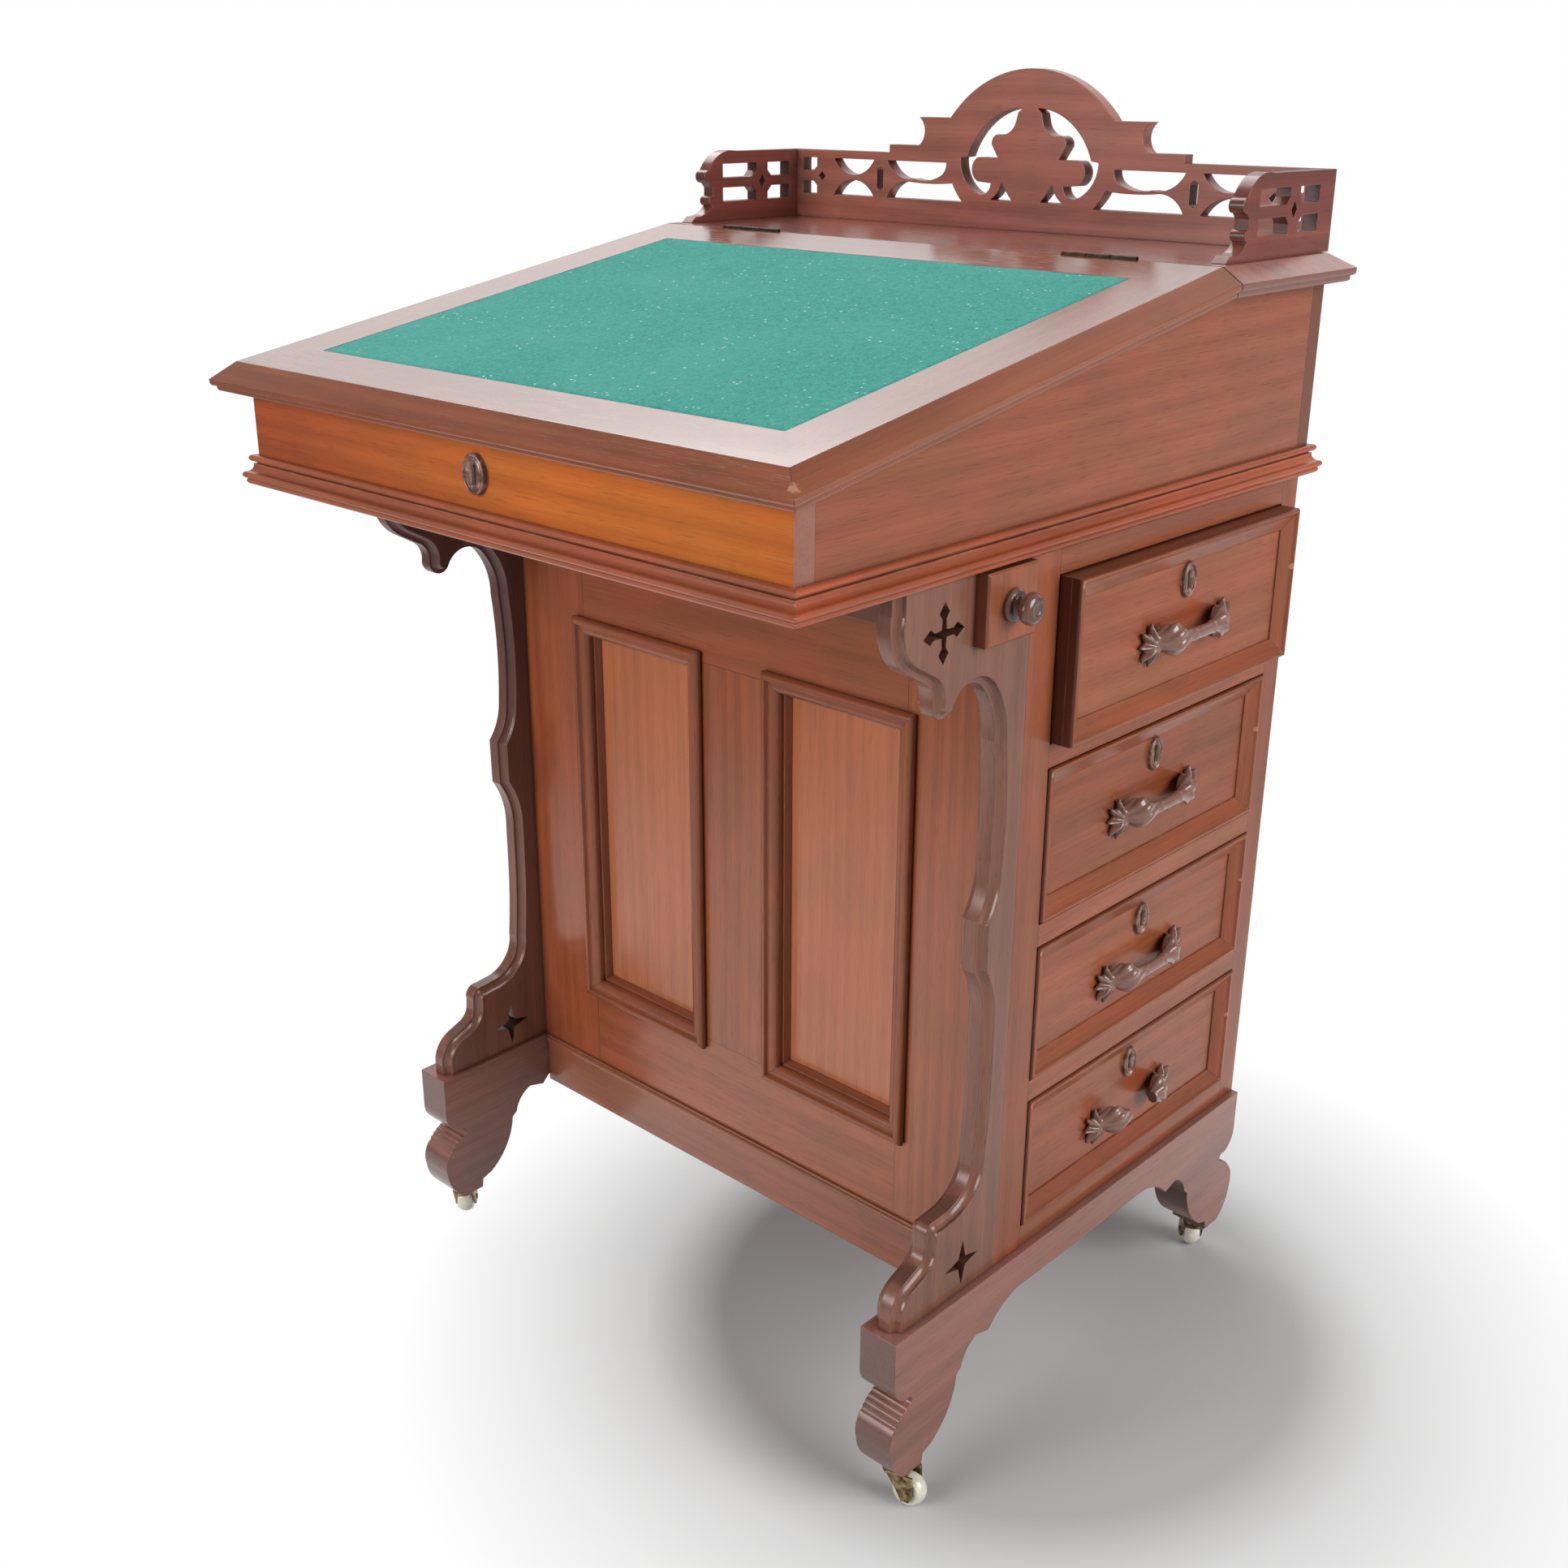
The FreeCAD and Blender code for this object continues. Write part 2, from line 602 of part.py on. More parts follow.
def drawer_parts():
    parts = {}
    for number, (z0, z1) in enumerate(drawer_openings(), 1):
        pulled = top_drawer_open if number == 1 else 0.0
        lost = grip_break if number == len(drawer_shares) else 0.0
        face = half_box - front_bevel_depth
        pieces = {"front": drawer_front_at(z0, z1, drawer_gap), "box": drawer_box_at(z0, z1),
                  "keyhole_plate": keyhole_plate(face, z1 - keyhole_below_top),
                  "handle": shifted(handle_at(z1 - handle_below_top, lost), face)}
        for name, piece in pieces.items():
            parts[f"drawer_{number}_{name}"] = shifted(piece, pulled)
    return parts


def false_drawers():
    """The left side has fixed fronts that match the drawers and fill their openings."""
    fronts = [mirror_x(drawer_front_at(z0, z1, 0)) for z0, z1 in drawer_openings()]
    face = half_box - front_bevel_depth
    handles = [mirror_x(shifted(handle_at(z1 - handle_below_top), face)) for z0, z1 in drawer_openings()]
    plates = [mirror_x(keyhole_plate(face, z1 - keyhole_below_top)) for z0, z1 in drawer_openings()]
    return Part.makeCompound(fronts), Part.makeCompound(handles + plates)


# ---- brackets ----------------------------------------------------------------------------------
def bracket_outline():
    """(y, z) outline, run past the top, back and foot rail so that only its front edge is moulded.

    f is the distance in front of the joint, d below the top and r above the foot rail."""
    up = lambda f, d: (bracket_back - f, box_under - d)
    low = lambda f, r: (bracket_back - f, rail_top + r)
    reach, stem, toe, past = bracket_reach, bracket_stem, bracket_toe, -bracket_past
    tab, start, end = stem + bracket_tab_reach, bracket_tab_drop, bracket_tab_drop + bracket_tab_length
    straight_end, bend_foot = end + 78, 104
    bend = case_height - straight_end - bend_foot
    return [up(past, past), up(reach, past), up(reach, 15.5), (up(reach - 3, 41.5), up(reach - 15, 54.5)),
            up(101, 63.5), (up(93.5, 69.5), up(91, 80.5)), (up(83, 91.5), up(72, 85.5)),
            (up(56, 75), up(37, 84)), (up(stem + 7, 98), up(stem + 3, 121)),
            (up(stem - 0.5, 168), up(stem + 1, start)), (up(stem + 4.5, start + 16), up(tab, start + 30)),
            up(tab - 0.5, end), (up(stem + 4.5, end + 16), up(stem + 0.5, end + 43)),
            up(stem + 0.5, straight_end), (low(stem + 1.5, bend_foot + 32 / 69 * bend), low(stem + 4, bend_foot)),
            (low(35, 79), low(56, 70.5)), low(66, 69.5),
            (low(74.5, 67), low(77, 58)), low(77.5, 50), (low(80.5, 43), low(87, 38.5)), low(97, 34.5),
            (low(toe - 5, 26), low(toe, 6)), low(toe, past), low(past, past)]


def pierced_star(y, z, radii, turn):
    """Cutter with four equal arms; radii are (distance, half width) pairs from the waist to the tip."""
    points = []
    for arm in range(4):
        angle = math.radians(90 * arm + turn)
        along, across = (math.cos(angle), math.sin(angle)), (-math.sin(angle), math.cos(angle))
        arm_points = [(d, -w) for d, w in radii] + [(d, w) for d, w in reversed(radii[:-1])]
        for d, w in arm_points:
            points.append((y + d * along[0] + w * across[0], z + d * along[1] + w * across[1]))
    return side_plate(points, inner_half - 1, half_box + 1)


def bracket():
    """Board with a flat front edge between two coves."""
    face = Part.Face(outline(bracket_outline(), lambda y, z: V(0, y, z)))
    cove = [(bracket_cove * math.cos(a), bracket_cove * math.sin(a)) for a in (0, 0.4, 0.8, 1.2)]
    cove.append((bracket_edge_least, bracket_cove))
    wires = []
    for inset, x in cove + [(inset, bracket_board - x) for inset, x in reversed(cove)]:
        wire = face.makeOffset2D(-inset, 0).OuterWire
        wire.translate(V(bracket_inner + x, 0, 0))
        wires.append(wire)
    board = Part.makeLoft(wires, True, True)
    board = board.common(block(bracket_inner, half_box, 0, bracket_back, rail_top, box_under))
    cross = pierced_star(bracket_back - dart_cross_forward, box_under - dart_cross_drop,
                         [(2.5, 2.5), (0.45 * dart_cross_reach, 2.0), (0.65 * dart_cross_reach, 5.0),
                          (dart_cross_reach, 0.0)], 0)
    star = pierced_star(bracket_back - star_forward, rail_top + star_rise, [(4.0, 4.0), (star_reach, 0.0)], 0)
    return board.cut(cross).cut(star)


def pen_opening():
    """Hole for the pen drawer as (y0, y1, z0, z1)."""
    y1 = bracket_back - 8 - pen_lip
    y0 = y1 - (pen_front_width - 2 * pen_lip)
    z1 = box_under - 1 - pen_lip
    return y0, y1, z1 - (pen_front_height - 2 * pen_lip), z1


def bracket_right():
    y0, y1, z0, z1 = pen_opening()
    return bracket().cut(block(inner_half - 1, half_box + 1, y0, y1, z0, z1))


# ---- pen drawer --------------------------------------------------------------------------------
def pen_front():
    y0, y1, z0, z1 = pen_opening()
    lip = pen_lip
    front = block(half_box, half_box + pen_front_board, y0 - lip, y1 + lip, z0 - lip, z1 + lip)
    outer = [e for e in front.Edges if abs(e.CenterOfMass.x - half_box - pen_front_board) < 1e-3]
    return front.makeChamfer(1.5, outer)


def pen_tray():
    y0, y1, z0, z1 = pen_opening()
    c = pen_clearance
    tray = block(half_box - pen_length, half_box, y0 + c, y1 - c, z0 + c, z1 - c)
    hollow = block(half_box - pen_length + pen_wall, half_box - pen_wall,
                   y0 + c + pen_wall, y1 - c - pen_wall, z0 + c + pen_wall, z1)
    return tray.cut(hollow)


def pen_knob():
    """Turned knob: rosette, neck and flattened ball."""
    y0, y1, z0, z1 = pen_opening()
    face = V(half_box + pen_front_board, 0.5 * (y0 + y1), 0.5 * (z0 + z1))
    base, ball, reach = knob_base_radius, knob_radius, knob_reach
    section = [(0, 0), (0, base), (2.5, base), (4, base - 1.5), (5, base - 4), (7, base - 6), (8.5, base - 5.5),
               ((0.5 * (8.5 + reach), ball), (reach, 3)), (reach, 0)]
    profile = Part.Face(outline(section, lambda x, r: face + V(x, r, 0)))
    return profile.revolve(face, V(1, 0, 0), 360)


def pen_housing():
    """Trough under the box that carries the pen drawer."""
    y0, y1, z0, z1 = pen_opening()
    wall = pen_housing_wall
    x0 = half_box - pen_length - 2 * wall
    floor = block(x0, bracket_inner, y0 - wall, knee_depth, z0 - wall, z0)
    front = block(x0, bracket_inner, y0 - wall, y0, z0, box_under)
    back = block(x0, bracket_inner, y1, knee_depth, z0, box_under)
    end = block(x0, x0 + wall, y0, y1, z0, box_under)
    return floor.multiFuse([front, back, end]).removeSplitter()


# ---- writing box -------------------------------------------------------------------------------
def box_side():
    y0, y1 = box_board, box_depth - box_board
    points = [(y0, box_under), (y0, box_front_top + y0 * math.tan(slope)), (hinge_y, ledge_under),
              (y1, ledge_under), (y1, box_under)]
    return side_plate(points, half_box - box_board, half_box)


def box_lock_at():
    return -box_lock_left, box_under + 0.5 * (foot_moulding_height + box_front_rise) - box_lock_low


def box_front():
    t = box_board
    points = [(0, box_under), (0, box_front_top), (t, box_front_top + t * math.tan(slope)), (t, box_under)]
    board = side_plate(points, -half_box, half_box)
    x, z = box_lock_at()
    return board.cut(keyhole(x, z + 0.25 * keyhole_length, lambda x, z: V(x, -1, z), V(0, keyhole_depth, 0)))


def box_back():
    return block(-half_box, half_box, box_depth - box_board, box_depth, box_under, ledge_under)


def box_bottom():
    inner = half_box - box_board
    return block(-inner, inner, box_board, box_depth - box_board, box_under, box_under + box_bottom_board)


def box_moulding():
    """Small roll, quirk, cove and two projecting beads round the foot of the box."""
    h, p = foot_moulding_height, foot_moulding_reach
    section = [(0, 0), (0, h), (0.3 * p, h), ((0.58 * p, 0.89 * h), (0.3 * p, 0.78 * h)), (0.15 * p, 0.77 * h),
               (0.15 * p, 0.72 * h), (0.35 * p, 0.71 * h), ((0.48 * p, 0.5 * h), (0.85 * p, 0.42 * h)),
               ((p, 0.32 * h), (0.85 * p, 0.21 * h)), (0.7 * p, 0.2 * h), ((0.8 * p, 0.1 * h), (0.6 * p, 0))]
    place = lambda x, y, up: V(x, y, box_under + up)
    return Part.makeCompound(frame_run(section, (-half_box, half_box, 0, box_depth), place))


def box_keyhole_plate():
    x, z = box_lock_at()
    return oval_plate(lambda u, w: V(x + u, 0, z + w), V(0, -1, 0), box_plate_width, box_plate_height,
                      box_plate_depth)


def ledge():
    board = moulded_slab(-lid_half, lid_half, hinge_y, box_depth + ledge_back_reach, ledge_top,
                         ledge_top - ledge_under, ("left", "right", "back"))
    for hinge in hinge_middles():
        board = board.cut(barrel_clearance(hinge)).cut(fixed_leaf(hinge))
    return board


# ---- lid ---------------------------------------------------------------------------------------
def on_slope(shape):
    """Puts a shape drawn flat, with its top back edge on y = z = 0, on the sloping lid."""
    placed = shape.copy()
    placed.Placement = Placement(V(0, hinge_y, ledge_top), Rotation(V(1, 0, 0), lid_slope))
    return placed


def cloth_area():
    return (-lid_half + lid_side_border, lid_half - lid_side_border,
            -lid_length + lid_side_border, -lid_hinge_border)


def lid_frame():
    slab = moulded_slab(-lid_half, lid_half, -lid_length, 2 * edge_bevel_in, 0, lid_thickness,
                        ("left", "right", "front"))
    x0, x1, y0, y1 = cloth_area()
    slab = slab.cut(block(x0, x1, y0, y1, -lid_thickness - 1, 1))
    placed = on_slope(slab)
    placed = placed.cut(block(-box_width, box_width, hinge_y - lid_joint_gap, box_depth,
                              box_under, ledge_top + lid_thickness))
    for hinge in hinge_middles():
        placed = placed.cut(barrel_clearance(hinge)).cut(lid_leaf(hinge))
    return placed


def lid_panel():
    x0, x1, y0, y1 = cloth_area()
    return on_slope(block(x0, x1, y0, y1, -lid_thickness, -baize_thickness))


def lid_baize():
    x0, x1, y0, y1 = cloth_area()
    return on_slope(block(x0, x1, y0, y1, -baize_thickness, 0))


def hinge_middles():
    return (-0.5 * hinge_spread, 0.5 * hinge_spread)


def barrel_clearance(x):
    half = 0.5 * hinge_leaf_length + hinge_barrel_clearance
    radius = hinge_barrel_radius + hinge_barrel_clearance
    return rod(V(x - half, hinge_y, ledge_top), V(1, 0, 0), radius, 2 * half)


def fixed_leaf(x):
    """Leaf let into the front edge of the ledge."""
    half = 0.5 * hinge_leaf_length
    return block(x - half, x + half, hinge_y, hinge_y + hinge_leaf_thickness,
                 ledge_top - hinge_leaf_width, ledge_top)


def lid_leaf(x):
    half = 0.5 * hinge_leaf_length
    y1 = hinge_y - lid_joint_gap
    return block(x - half, x + half, y1 - hinge_leaf_thickness, y1, ledge_top - hinge_leaf_width, ledge_top)


def hinge_parts():
    """Per hinge a fixed leaf with the middle knuckle and pin, and a lid leaf with the two outer knuckles."""
    axis, radius, gap = V(1, 0, 0), hinge_barrel_radius, hinge_barrel_clearance
    fixed, moving = [], []
    third = hinge_leaf_length / 3
    pin_radius = 0.4 * radius
    bore_radius = pin_radius + hinge_pin_clearance
    for x in hinge_middles():
        start = x - 0.5 * hinge_leaf_length
        barrel = rod(V(start, hinge_y, ledge_top), axis, radius, hinge_leaf_length)
        ends = [block(start + i * third - gap, start + i * third + gap, hinge_y - 9, hinge_y + 9,
                      ledge_top - 9, ledge_top + 9) for i in (1, 2)]
        inner = block(start + third, start + 2 * third, hinge_y - 30, hinge_y + 30,
                      ledge_top - 30, ledge_top + 30)
        pin = rod(V(start + 1, hinge_y, ledge_top), axis, pin_radius, hinge_leaf_length - 2)
        bore = rod(V(start - 1, hinge_y, ledge_top), axis, bore_radius, hinge_leaf_length + 2)
        middle = barrel.common(inner).cut(ends[0]).cut(ends[1])
        outer = barrel.cut(inner).cut(ends[0]).cut(ends[1]).cut(bore)
        ring = barrel_clearance(x)
        plate, flap = fixed_leaf(x), lid_leaf(x)
        fixed_web = plate.cut(ring).fuse(plate.common(inner).cut(ends[0]).cut(ends[1]))
        flap_web = flap.cut(ring).fuse(flap.cut(inner).cut(ends[0]).cut(ends[1]).cut(bore))
        fixed.append(fixed_web.multiFuse([middle, pin]).removeSplitter())
        moving.append(flap_web.fuse(outer).removeSplitter())
    return Part.makeCompound(fixed), Part.makeCompound(moving)


# ---- gallery -----------------------------------------------------------------------------------
def on_ledge(points):
    """Raises an outline, given above the ledge, to the ledge top."""
    lift = lambda p: (p[0], p[1] + ledge_top)
    return [(lift(p[0]), lift(p[1])) if isinstance(p[0], tuple) else lift(p) for p in points]


def flipped(points):
    """The same outline on the other side of x = 0."""
    flip = lambda p: (-p[0], p[1])
    return [(flip(p[0]), flip(p[1])) if isinstance(p[0], tuple) else flip(p) for p in points]


def fret_openings():
    """Pierced openings of the left half, in millimetres from the middle and above the ledge."""
    low, high = gallery_bottom_rail, gallery_height - gallery_top_rail
    mid = 0.5 * (low + high)
    end = gallery_end_stile - (gallery_half - gallery_board)
    corner = [(end, high), (end + 17, high), (end + 17, mid + 8), (end + 13, mid + 4.5), (end, mid + 4.5)]
    corner_low = [(end, low), (end + 17, low), (end + 17, mid - 8), (end + 13, mid - 4.5), (end, mid - 4.5)]
    hole = [(end + 19, mid), (end + 23, mid + 4), (end + 27, mid), (end + 23, mid - 4)]
    bowl_start, bowl_end = end + 37, -162
    bowl_mid = 0.5 * (bowl_start + bowl_end)
    bowl = [(bowl_start, high), ((bowl_mid, mid + 2), (bowl_end, high))]
    dome = [(bowl_start, low), ((bowl_mid, mid - 2), (bowl_end, low))]
    slot = [(-158.5, mid - 7), (-158.5, mid + 7), ((-155, mid + 9.5), (-151.5, mid + 7)),
            (-151.5, mid - 7), ((-155, mid - 9.5), (-158.5, mid - 7))]
    boat = [(-147, high), ((-136, mid + 4), (-118, mid + 1.5)), ((-100, mid + 0.8), (-90, mid + 4)),
            ((-85, mid + 8), (-83, high))]
    shelf = [(-147, low), ((-137, mid - 4), (-120, mid - 1.5)), ((-98, mid - 2.2), (-76, mid - 1)),
             ((-71.5, mid - 8), (-65, low))]
    plume = [(-7, 94.5), ((-44, 80.5), (-61, 56)), (-68, 55), ((-64, 40), (-48, 27)), ((-42, 27.5), (-36, 36)),
             (-49, 37), ((-56, 46.5), (-50, 56)), (-30, 56), (-36.5, 66), ((-35, 72), (-29, 74)),
             ((-18, 77), (-13, 85)), (-11.5, 91)]
    spandrel = [(-36, low + 3), ((-29, low + 9), (-25, low + 17)), ((-20, low + 10), (-14, low + 3))]
    return [corner, corner_low, hole, bowl, dome, slot, boat, shelf, plume, spandrel]


def gallery_back():
    """Back board: a fret with a stepped and arched top."""
    half = gallery_half - gallery_board
    left = [(-half, 0), (-half, gallery_height), (-step_half, gallery_height), (-step_half, step_height),
            (-shoulder_half, step_height), ((-shoulder_half + 6, 0.5 * (step_height + shoulder_height)),
                                            (-shoulder_half, shoulder_height)), (-arch_half, shoulder_height)]
    top = [((0, arch_height), (arch_half, shoulder_height))]
    outline_points = on_ledge(left + top + mirrored(left))
    board = front_plate(outline_points, gallery_front_y, gallery_back_y)
    for opening in fret_openings():
        for points in (opening, flipped(opening)):
            board = board.cut(front_plate(on_ledge(points), gallery_front_y - 1, gallery_back_y + 1))
    return board


def gallery_side():
    """Side board: beaded front edge and four openings round a cross."""
    back, top = gallery_back_y, gallery_height
    front = back - gallery_side_length
    low, high = gallery_bottom_rail - 4, gallery_height - 10
    mid = 0.5 * (low + high)
    edge = [(back, 0), (back, top), (front + 56, top), ((front + 34, top - 3), (front + 22, top - 15)),
            ((front + 17, top - 20), (front + 23, top - 25)), (front + 27, top - 29), (front + 27, top - 36),
            ((front + 22, top - 40), (front + 26, top - 44)), ((front + 20, 8), (front + 6, 5)), (front, 0)]
    board = side_plate(on_ledge(edge), gallery_half - gallery_board, gallery_half)
    centre = front + 88
    hole = [(centre - 4, mid), (centre, mid + 6), (centre + 4, mid), (centre, mid - 6)]
    cutters = [hole]
    for y0, y1, corner in ((front + 39, centre - 7, 1), (back - 22, centre + 7, -1)):
        for z0, z1 in ((high, mid + 4), (low, mid - 4)):
            cut_in = 5 if z1 > mid else -5
            cutters.append([(y0, z0), (y1, z0), (y1, z1 + cut_in), (y1 - 5 * corner, z1), (y0, z1)])
    for points in cutters:
        board = board.cut(side_plate(on_ledge(points), gallery_half - gallery_board - 1, gallery_half + 1))
    return board


# ---- all the pieces ----------------------------------------------------------------------------
def casters():
    parts = {}
    for name, point in leg_points().items():
        turn = Rotation(V(0, 0, 1), caster_heading[name])
        for piece, shape in (("fork", caster_fork()), ("wheel", caster_wheel())):
            shape.Placement = Placement(V(point.x, point.y, 0), turn)
            parts[f"caster_{name}_{piece}"] = shape
    return parts


def desk():
    false_fronts, false_handles = false_drawers()
    fixed_leaves, lid_leaves = hinge_parts()
    parts = {
        "foot_rail_left": drilled_foot_rail("left"), "foot_rail_right": drilled_foot_rail("right"),
        "base_front_rail": base_front_rail(), "base_board": base_board(), "caster_sockets": caster_sockets(),
        "case_front_frame": front_frame(), "case_front_panels": front_panels(),
        "case_front_mouldings": front_mouldings(), "case_back": back_frame(),
        "case_right_frame": side_frame(), "case_left_frame": mirror_x(side_frame()),
        "false_drawer_fronts": false_fronts, "false_drawer_handles": false_handles,
        "drawer_runners": drawer_runners(),
        "bracket_left": mirror_x(bracket()), "bracket_right": bracket_right(),
        "pen_housing": pen_housing(), "pen_drawer_front": pen_front(), "pen_drawer_tray": pen_tray(),
        "pen_drawer_knob": pen_knob(),
        "box_left_side": mirror_x(box_side()), "box_right_side": box_side(), "box_front": box_front(),
        "box_back": box_back(), "box_bottom": box_bottom(), "box_moulding": box_moulding(),
        "box_keyhole_plate": box_keyhole_plate(), "ledge": ledge(),
        "hinge_fixed_leaves": fixed_leaves, "hinge_lid_leaves": lid_leaves,
        "lid_frame": lid_frame(), "lid_panel": lid_panel(), "lid_baize": lid_baize(),
        "gallery_back": gallery_back(), "gallery_left": mirror_x(gallery_side()),
        "gallery_right": gallery_side(),
    }
    parts.update(drawer_parts())
    parts.update(casters())
    return parts


os.makedirs("parts", exist_ok=True)
for node, shape in desk().items():
    shape.translate(V(-centre_x, -centre_y, 0))
    shape.exportStep(f"parts/{node}.step")
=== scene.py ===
"""Davenport desk: materials, cloth, carved handles and keyhole plates round the CAD frame, with its
light, floor and camera."""
import functools
import math

import bpy
import numpy as np
from mathutils import Matrix, Vector


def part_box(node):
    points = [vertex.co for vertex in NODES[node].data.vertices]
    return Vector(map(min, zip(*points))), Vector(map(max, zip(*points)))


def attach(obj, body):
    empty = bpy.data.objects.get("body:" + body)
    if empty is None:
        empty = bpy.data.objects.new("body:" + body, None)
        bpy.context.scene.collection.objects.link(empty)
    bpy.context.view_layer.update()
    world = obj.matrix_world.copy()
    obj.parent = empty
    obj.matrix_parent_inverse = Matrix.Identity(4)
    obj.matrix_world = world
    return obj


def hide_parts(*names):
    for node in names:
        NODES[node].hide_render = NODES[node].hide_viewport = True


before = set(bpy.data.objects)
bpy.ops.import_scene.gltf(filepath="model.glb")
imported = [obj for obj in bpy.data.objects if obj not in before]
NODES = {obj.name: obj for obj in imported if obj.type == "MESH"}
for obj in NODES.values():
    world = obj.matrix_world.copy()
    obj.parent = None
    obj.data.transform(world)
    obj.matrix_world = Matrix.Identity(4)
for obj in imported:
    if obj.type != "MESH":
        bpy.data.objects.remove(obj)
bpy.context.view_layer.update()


# ---- places and sizes --------------------------------------------------------------------------
def centre_of(node):
    """Lowest and highest corner of a node, and its middle."""
    low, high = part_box(node)
    return low, high, (low + high) / 2


def centre_half(node, axis):
    """Middle and half size of a node along one axis."""
    low, high = (getattr(corner, axis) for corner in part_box(node))
    return (low + high) / 2, (high - low) / 2


BOX_LOW, BOX_HIGH, BOX_MIDDLE = centre_of("box_front")
MID_X = BOX_MIDDLE.x
HALF = (BOX_HIGH.x - BOX_LOW.x) / 2
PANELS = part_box("case_front_panels")
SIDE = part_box("case_right_frame")
DRAWERS = range(1, 5)
BROKEN_HANDLE = 4           # the drawer whose handle has lost the middle of its grip
LID_SLOPE = math.radians(9.7)
OUTER_STILE = 0.071         # widths of the boards in the pedestal's frames
CENTRE_STILE = 0.084
SIDE_FRONT_STILE = 0.030
SIDE_REAR_STILE = 0.022
REBATE = 0.008              # how far a panel runs in behind its frame
PANEL_EDGE = (PANELS[1].x - PANELS[0].x) / 2 - REBATE
DRAWER_STRIP = 0.0155       # width of the mitred strips round a drawer's front
LID_BORDER = 0.0603         # from the edge of the cloth to the edge of the lid
WHOLE_PIECE = 1.0           # as a strip's width: mitres that run across the whole piece
SHADER_RAYS = 6             # rays for a rounded edge or a hollow


# ---- node building -----------------------------------------------------------------------------
class Tree:
    """Short calls for making and linking shader nodes."""

    def __init__(self, owner):
        self.tree = owner.node_tree
        self.tree.nodes.clear()

    def put(self, socket, value):
        if isinstance(value, bpy.types.NodeSocket):
            self.tree.links.new(value, socket)
        elif value is not None:
            socket.default_value = value

    def node(self, kind, ins=None, **settings):
        made = self.tree.nodes.new(kind)
        for key, value in settings.items():
            setattr(made, key, value)
        for key, value in (ins or {}).items():
            self.put(made.inputs[key], value)
        return made

    def math(self, operation, a, b=None, c=None, clamp=False):
        made = self.node("ShaderNodeMath", operation=operation, use_clamp=clamp)
        for socket, value in zip(made.inputs, (a, b, c)):
            self.put(socket, value)
        return made.outputs[0]

    def vector(self, operation, a, b=None, scale=None):
        made = self.node("ShaderNodeVectorMath", operation=operation)
        self.put(made.inputs[0], a)
        self.put(made.inputs[1], b)
        if scale is not None:
            self.put(made.inputs["Scale"], scale)
        return made.outputs["Value" if operation in ("DOT_PRODUCT", "LENGTH", "DISTANCE") else "Vector"]

    def mix(self, factor, a, b, blend="MIX"):
        made = self.node("ShaderNodeMix", data_type="RGBA", blend_type=blend)
        self.put(made.inputs[0], factor)
        for socket, value in ((made.inputs[6], a), (made.inputs[7], b)):
            self.put(socket, (*value, 1.0) if isinstance(value, tuple) and len(value) == 3 else value)
        return made.outputs[2]

    def mix_vector(self, factor, a, b):
        made = self.node("ShaderNodeMix", data_type="VECTOR")
        for key, value in ((0, factor), (4, a), (5, b)):
            self.put(made.inputs[key], value)
        return made.outputs[1]

    def mix_value(self, factor, a, b):
        made = self.node("ShaderNodeMix", data_type="FLOAT")
        for key, value in ((0, factor), (2, a), (3, b)):
            self.put(made.inputs[key], value)
        return made.outputs[0]

    def ramp(self, factor, stops):
        """stops are (place, value or colour) pairs."""
        made = self.node("ShaderNodeValToRGB", {0: factor})
        elements = made.color_ramp.elements
        while len(elements) < len(stops):
            elements.new(0.5)
        for element, (place, value) in zip(elements, stops):
            element.position = place
            element.color = (*value, 1.0) if isinstance(value, tuple) else (value, value, value, 1.0)
        return made.outputs[0]

    def span(self, value, low, high, out_low=0.0, out_high=1.0):
        made = self.node("ShaderNodeMapRange", {0: value, 1: low, 2: high, 3: out_low, 4: out_high},
                         interpolation_type="SMOOTHSTEP")
        return made.outputs[0]

    def noise(self, vector, scale, detail=2.0, roughness=0.5, distortion=0.0, colour=False):
        made = self.node("ShaderNodeTexNoise", {"Vector": vector, "Scale": scale, "Detail": detail,
                                                "Roughness": roughness, "Distortion": distortion})
        return made.outputs["Color" if colour else "Fac"]

    def times(self, vector, factors):
        return self.vector("MULTIPLY", vector, factors)

    def tinted(self, colour, tint):
        return self.mix(1.0, colour, tint, blend="MULTIPLY")

    def highest(self, values):
        return functools.reduce(lambda a, b: self.math("MAXIMUM", a, b), values)

    def bevelled(self, radius, full):
        """The normal with its edges rounded, and how much of an edge is there: 1 where the two
        normals' product is down to full."""
        rounded = self.node("ShaderNodeBevel", {"Radius": radius}, samples=SHADER_RAYS).outputs[0]
        shown = self.node("ShaderNodeNewGeometry").outputs["Normal"]
        return rounded, self.span(self.vector("DOT_PRODUCT", rounded, shown), 0.995, full)

    def openness(self, distance):
        """1 in the open, less in a hollow."""
        made = self.node("ShaderNodeAmbientOcclusion", {"Distance": distance}, samples=SHADER_RAYS)
        return made.outputs["AO"]

    def bump(self, height, strength, distance, normal=None):
        made = self.node("ShaderNodeBump", {"Strength": strength, "Distance": distance,
                                            "Height": height, "Normal": normal})
        return made.outputs[0]

    def surface(self, sockets):
        """Ends a material in one principled shader."""
        shader = self.node("ShaderNodeBsdfPrincipled", sockets).outputs[0]
        self.node("ShaderNodeOutputMaterial", {0: shader})


def new_material(name):
    material = bpy.data.materials.new(name)
    material.use_nodes = True
    return material, Tree(material)


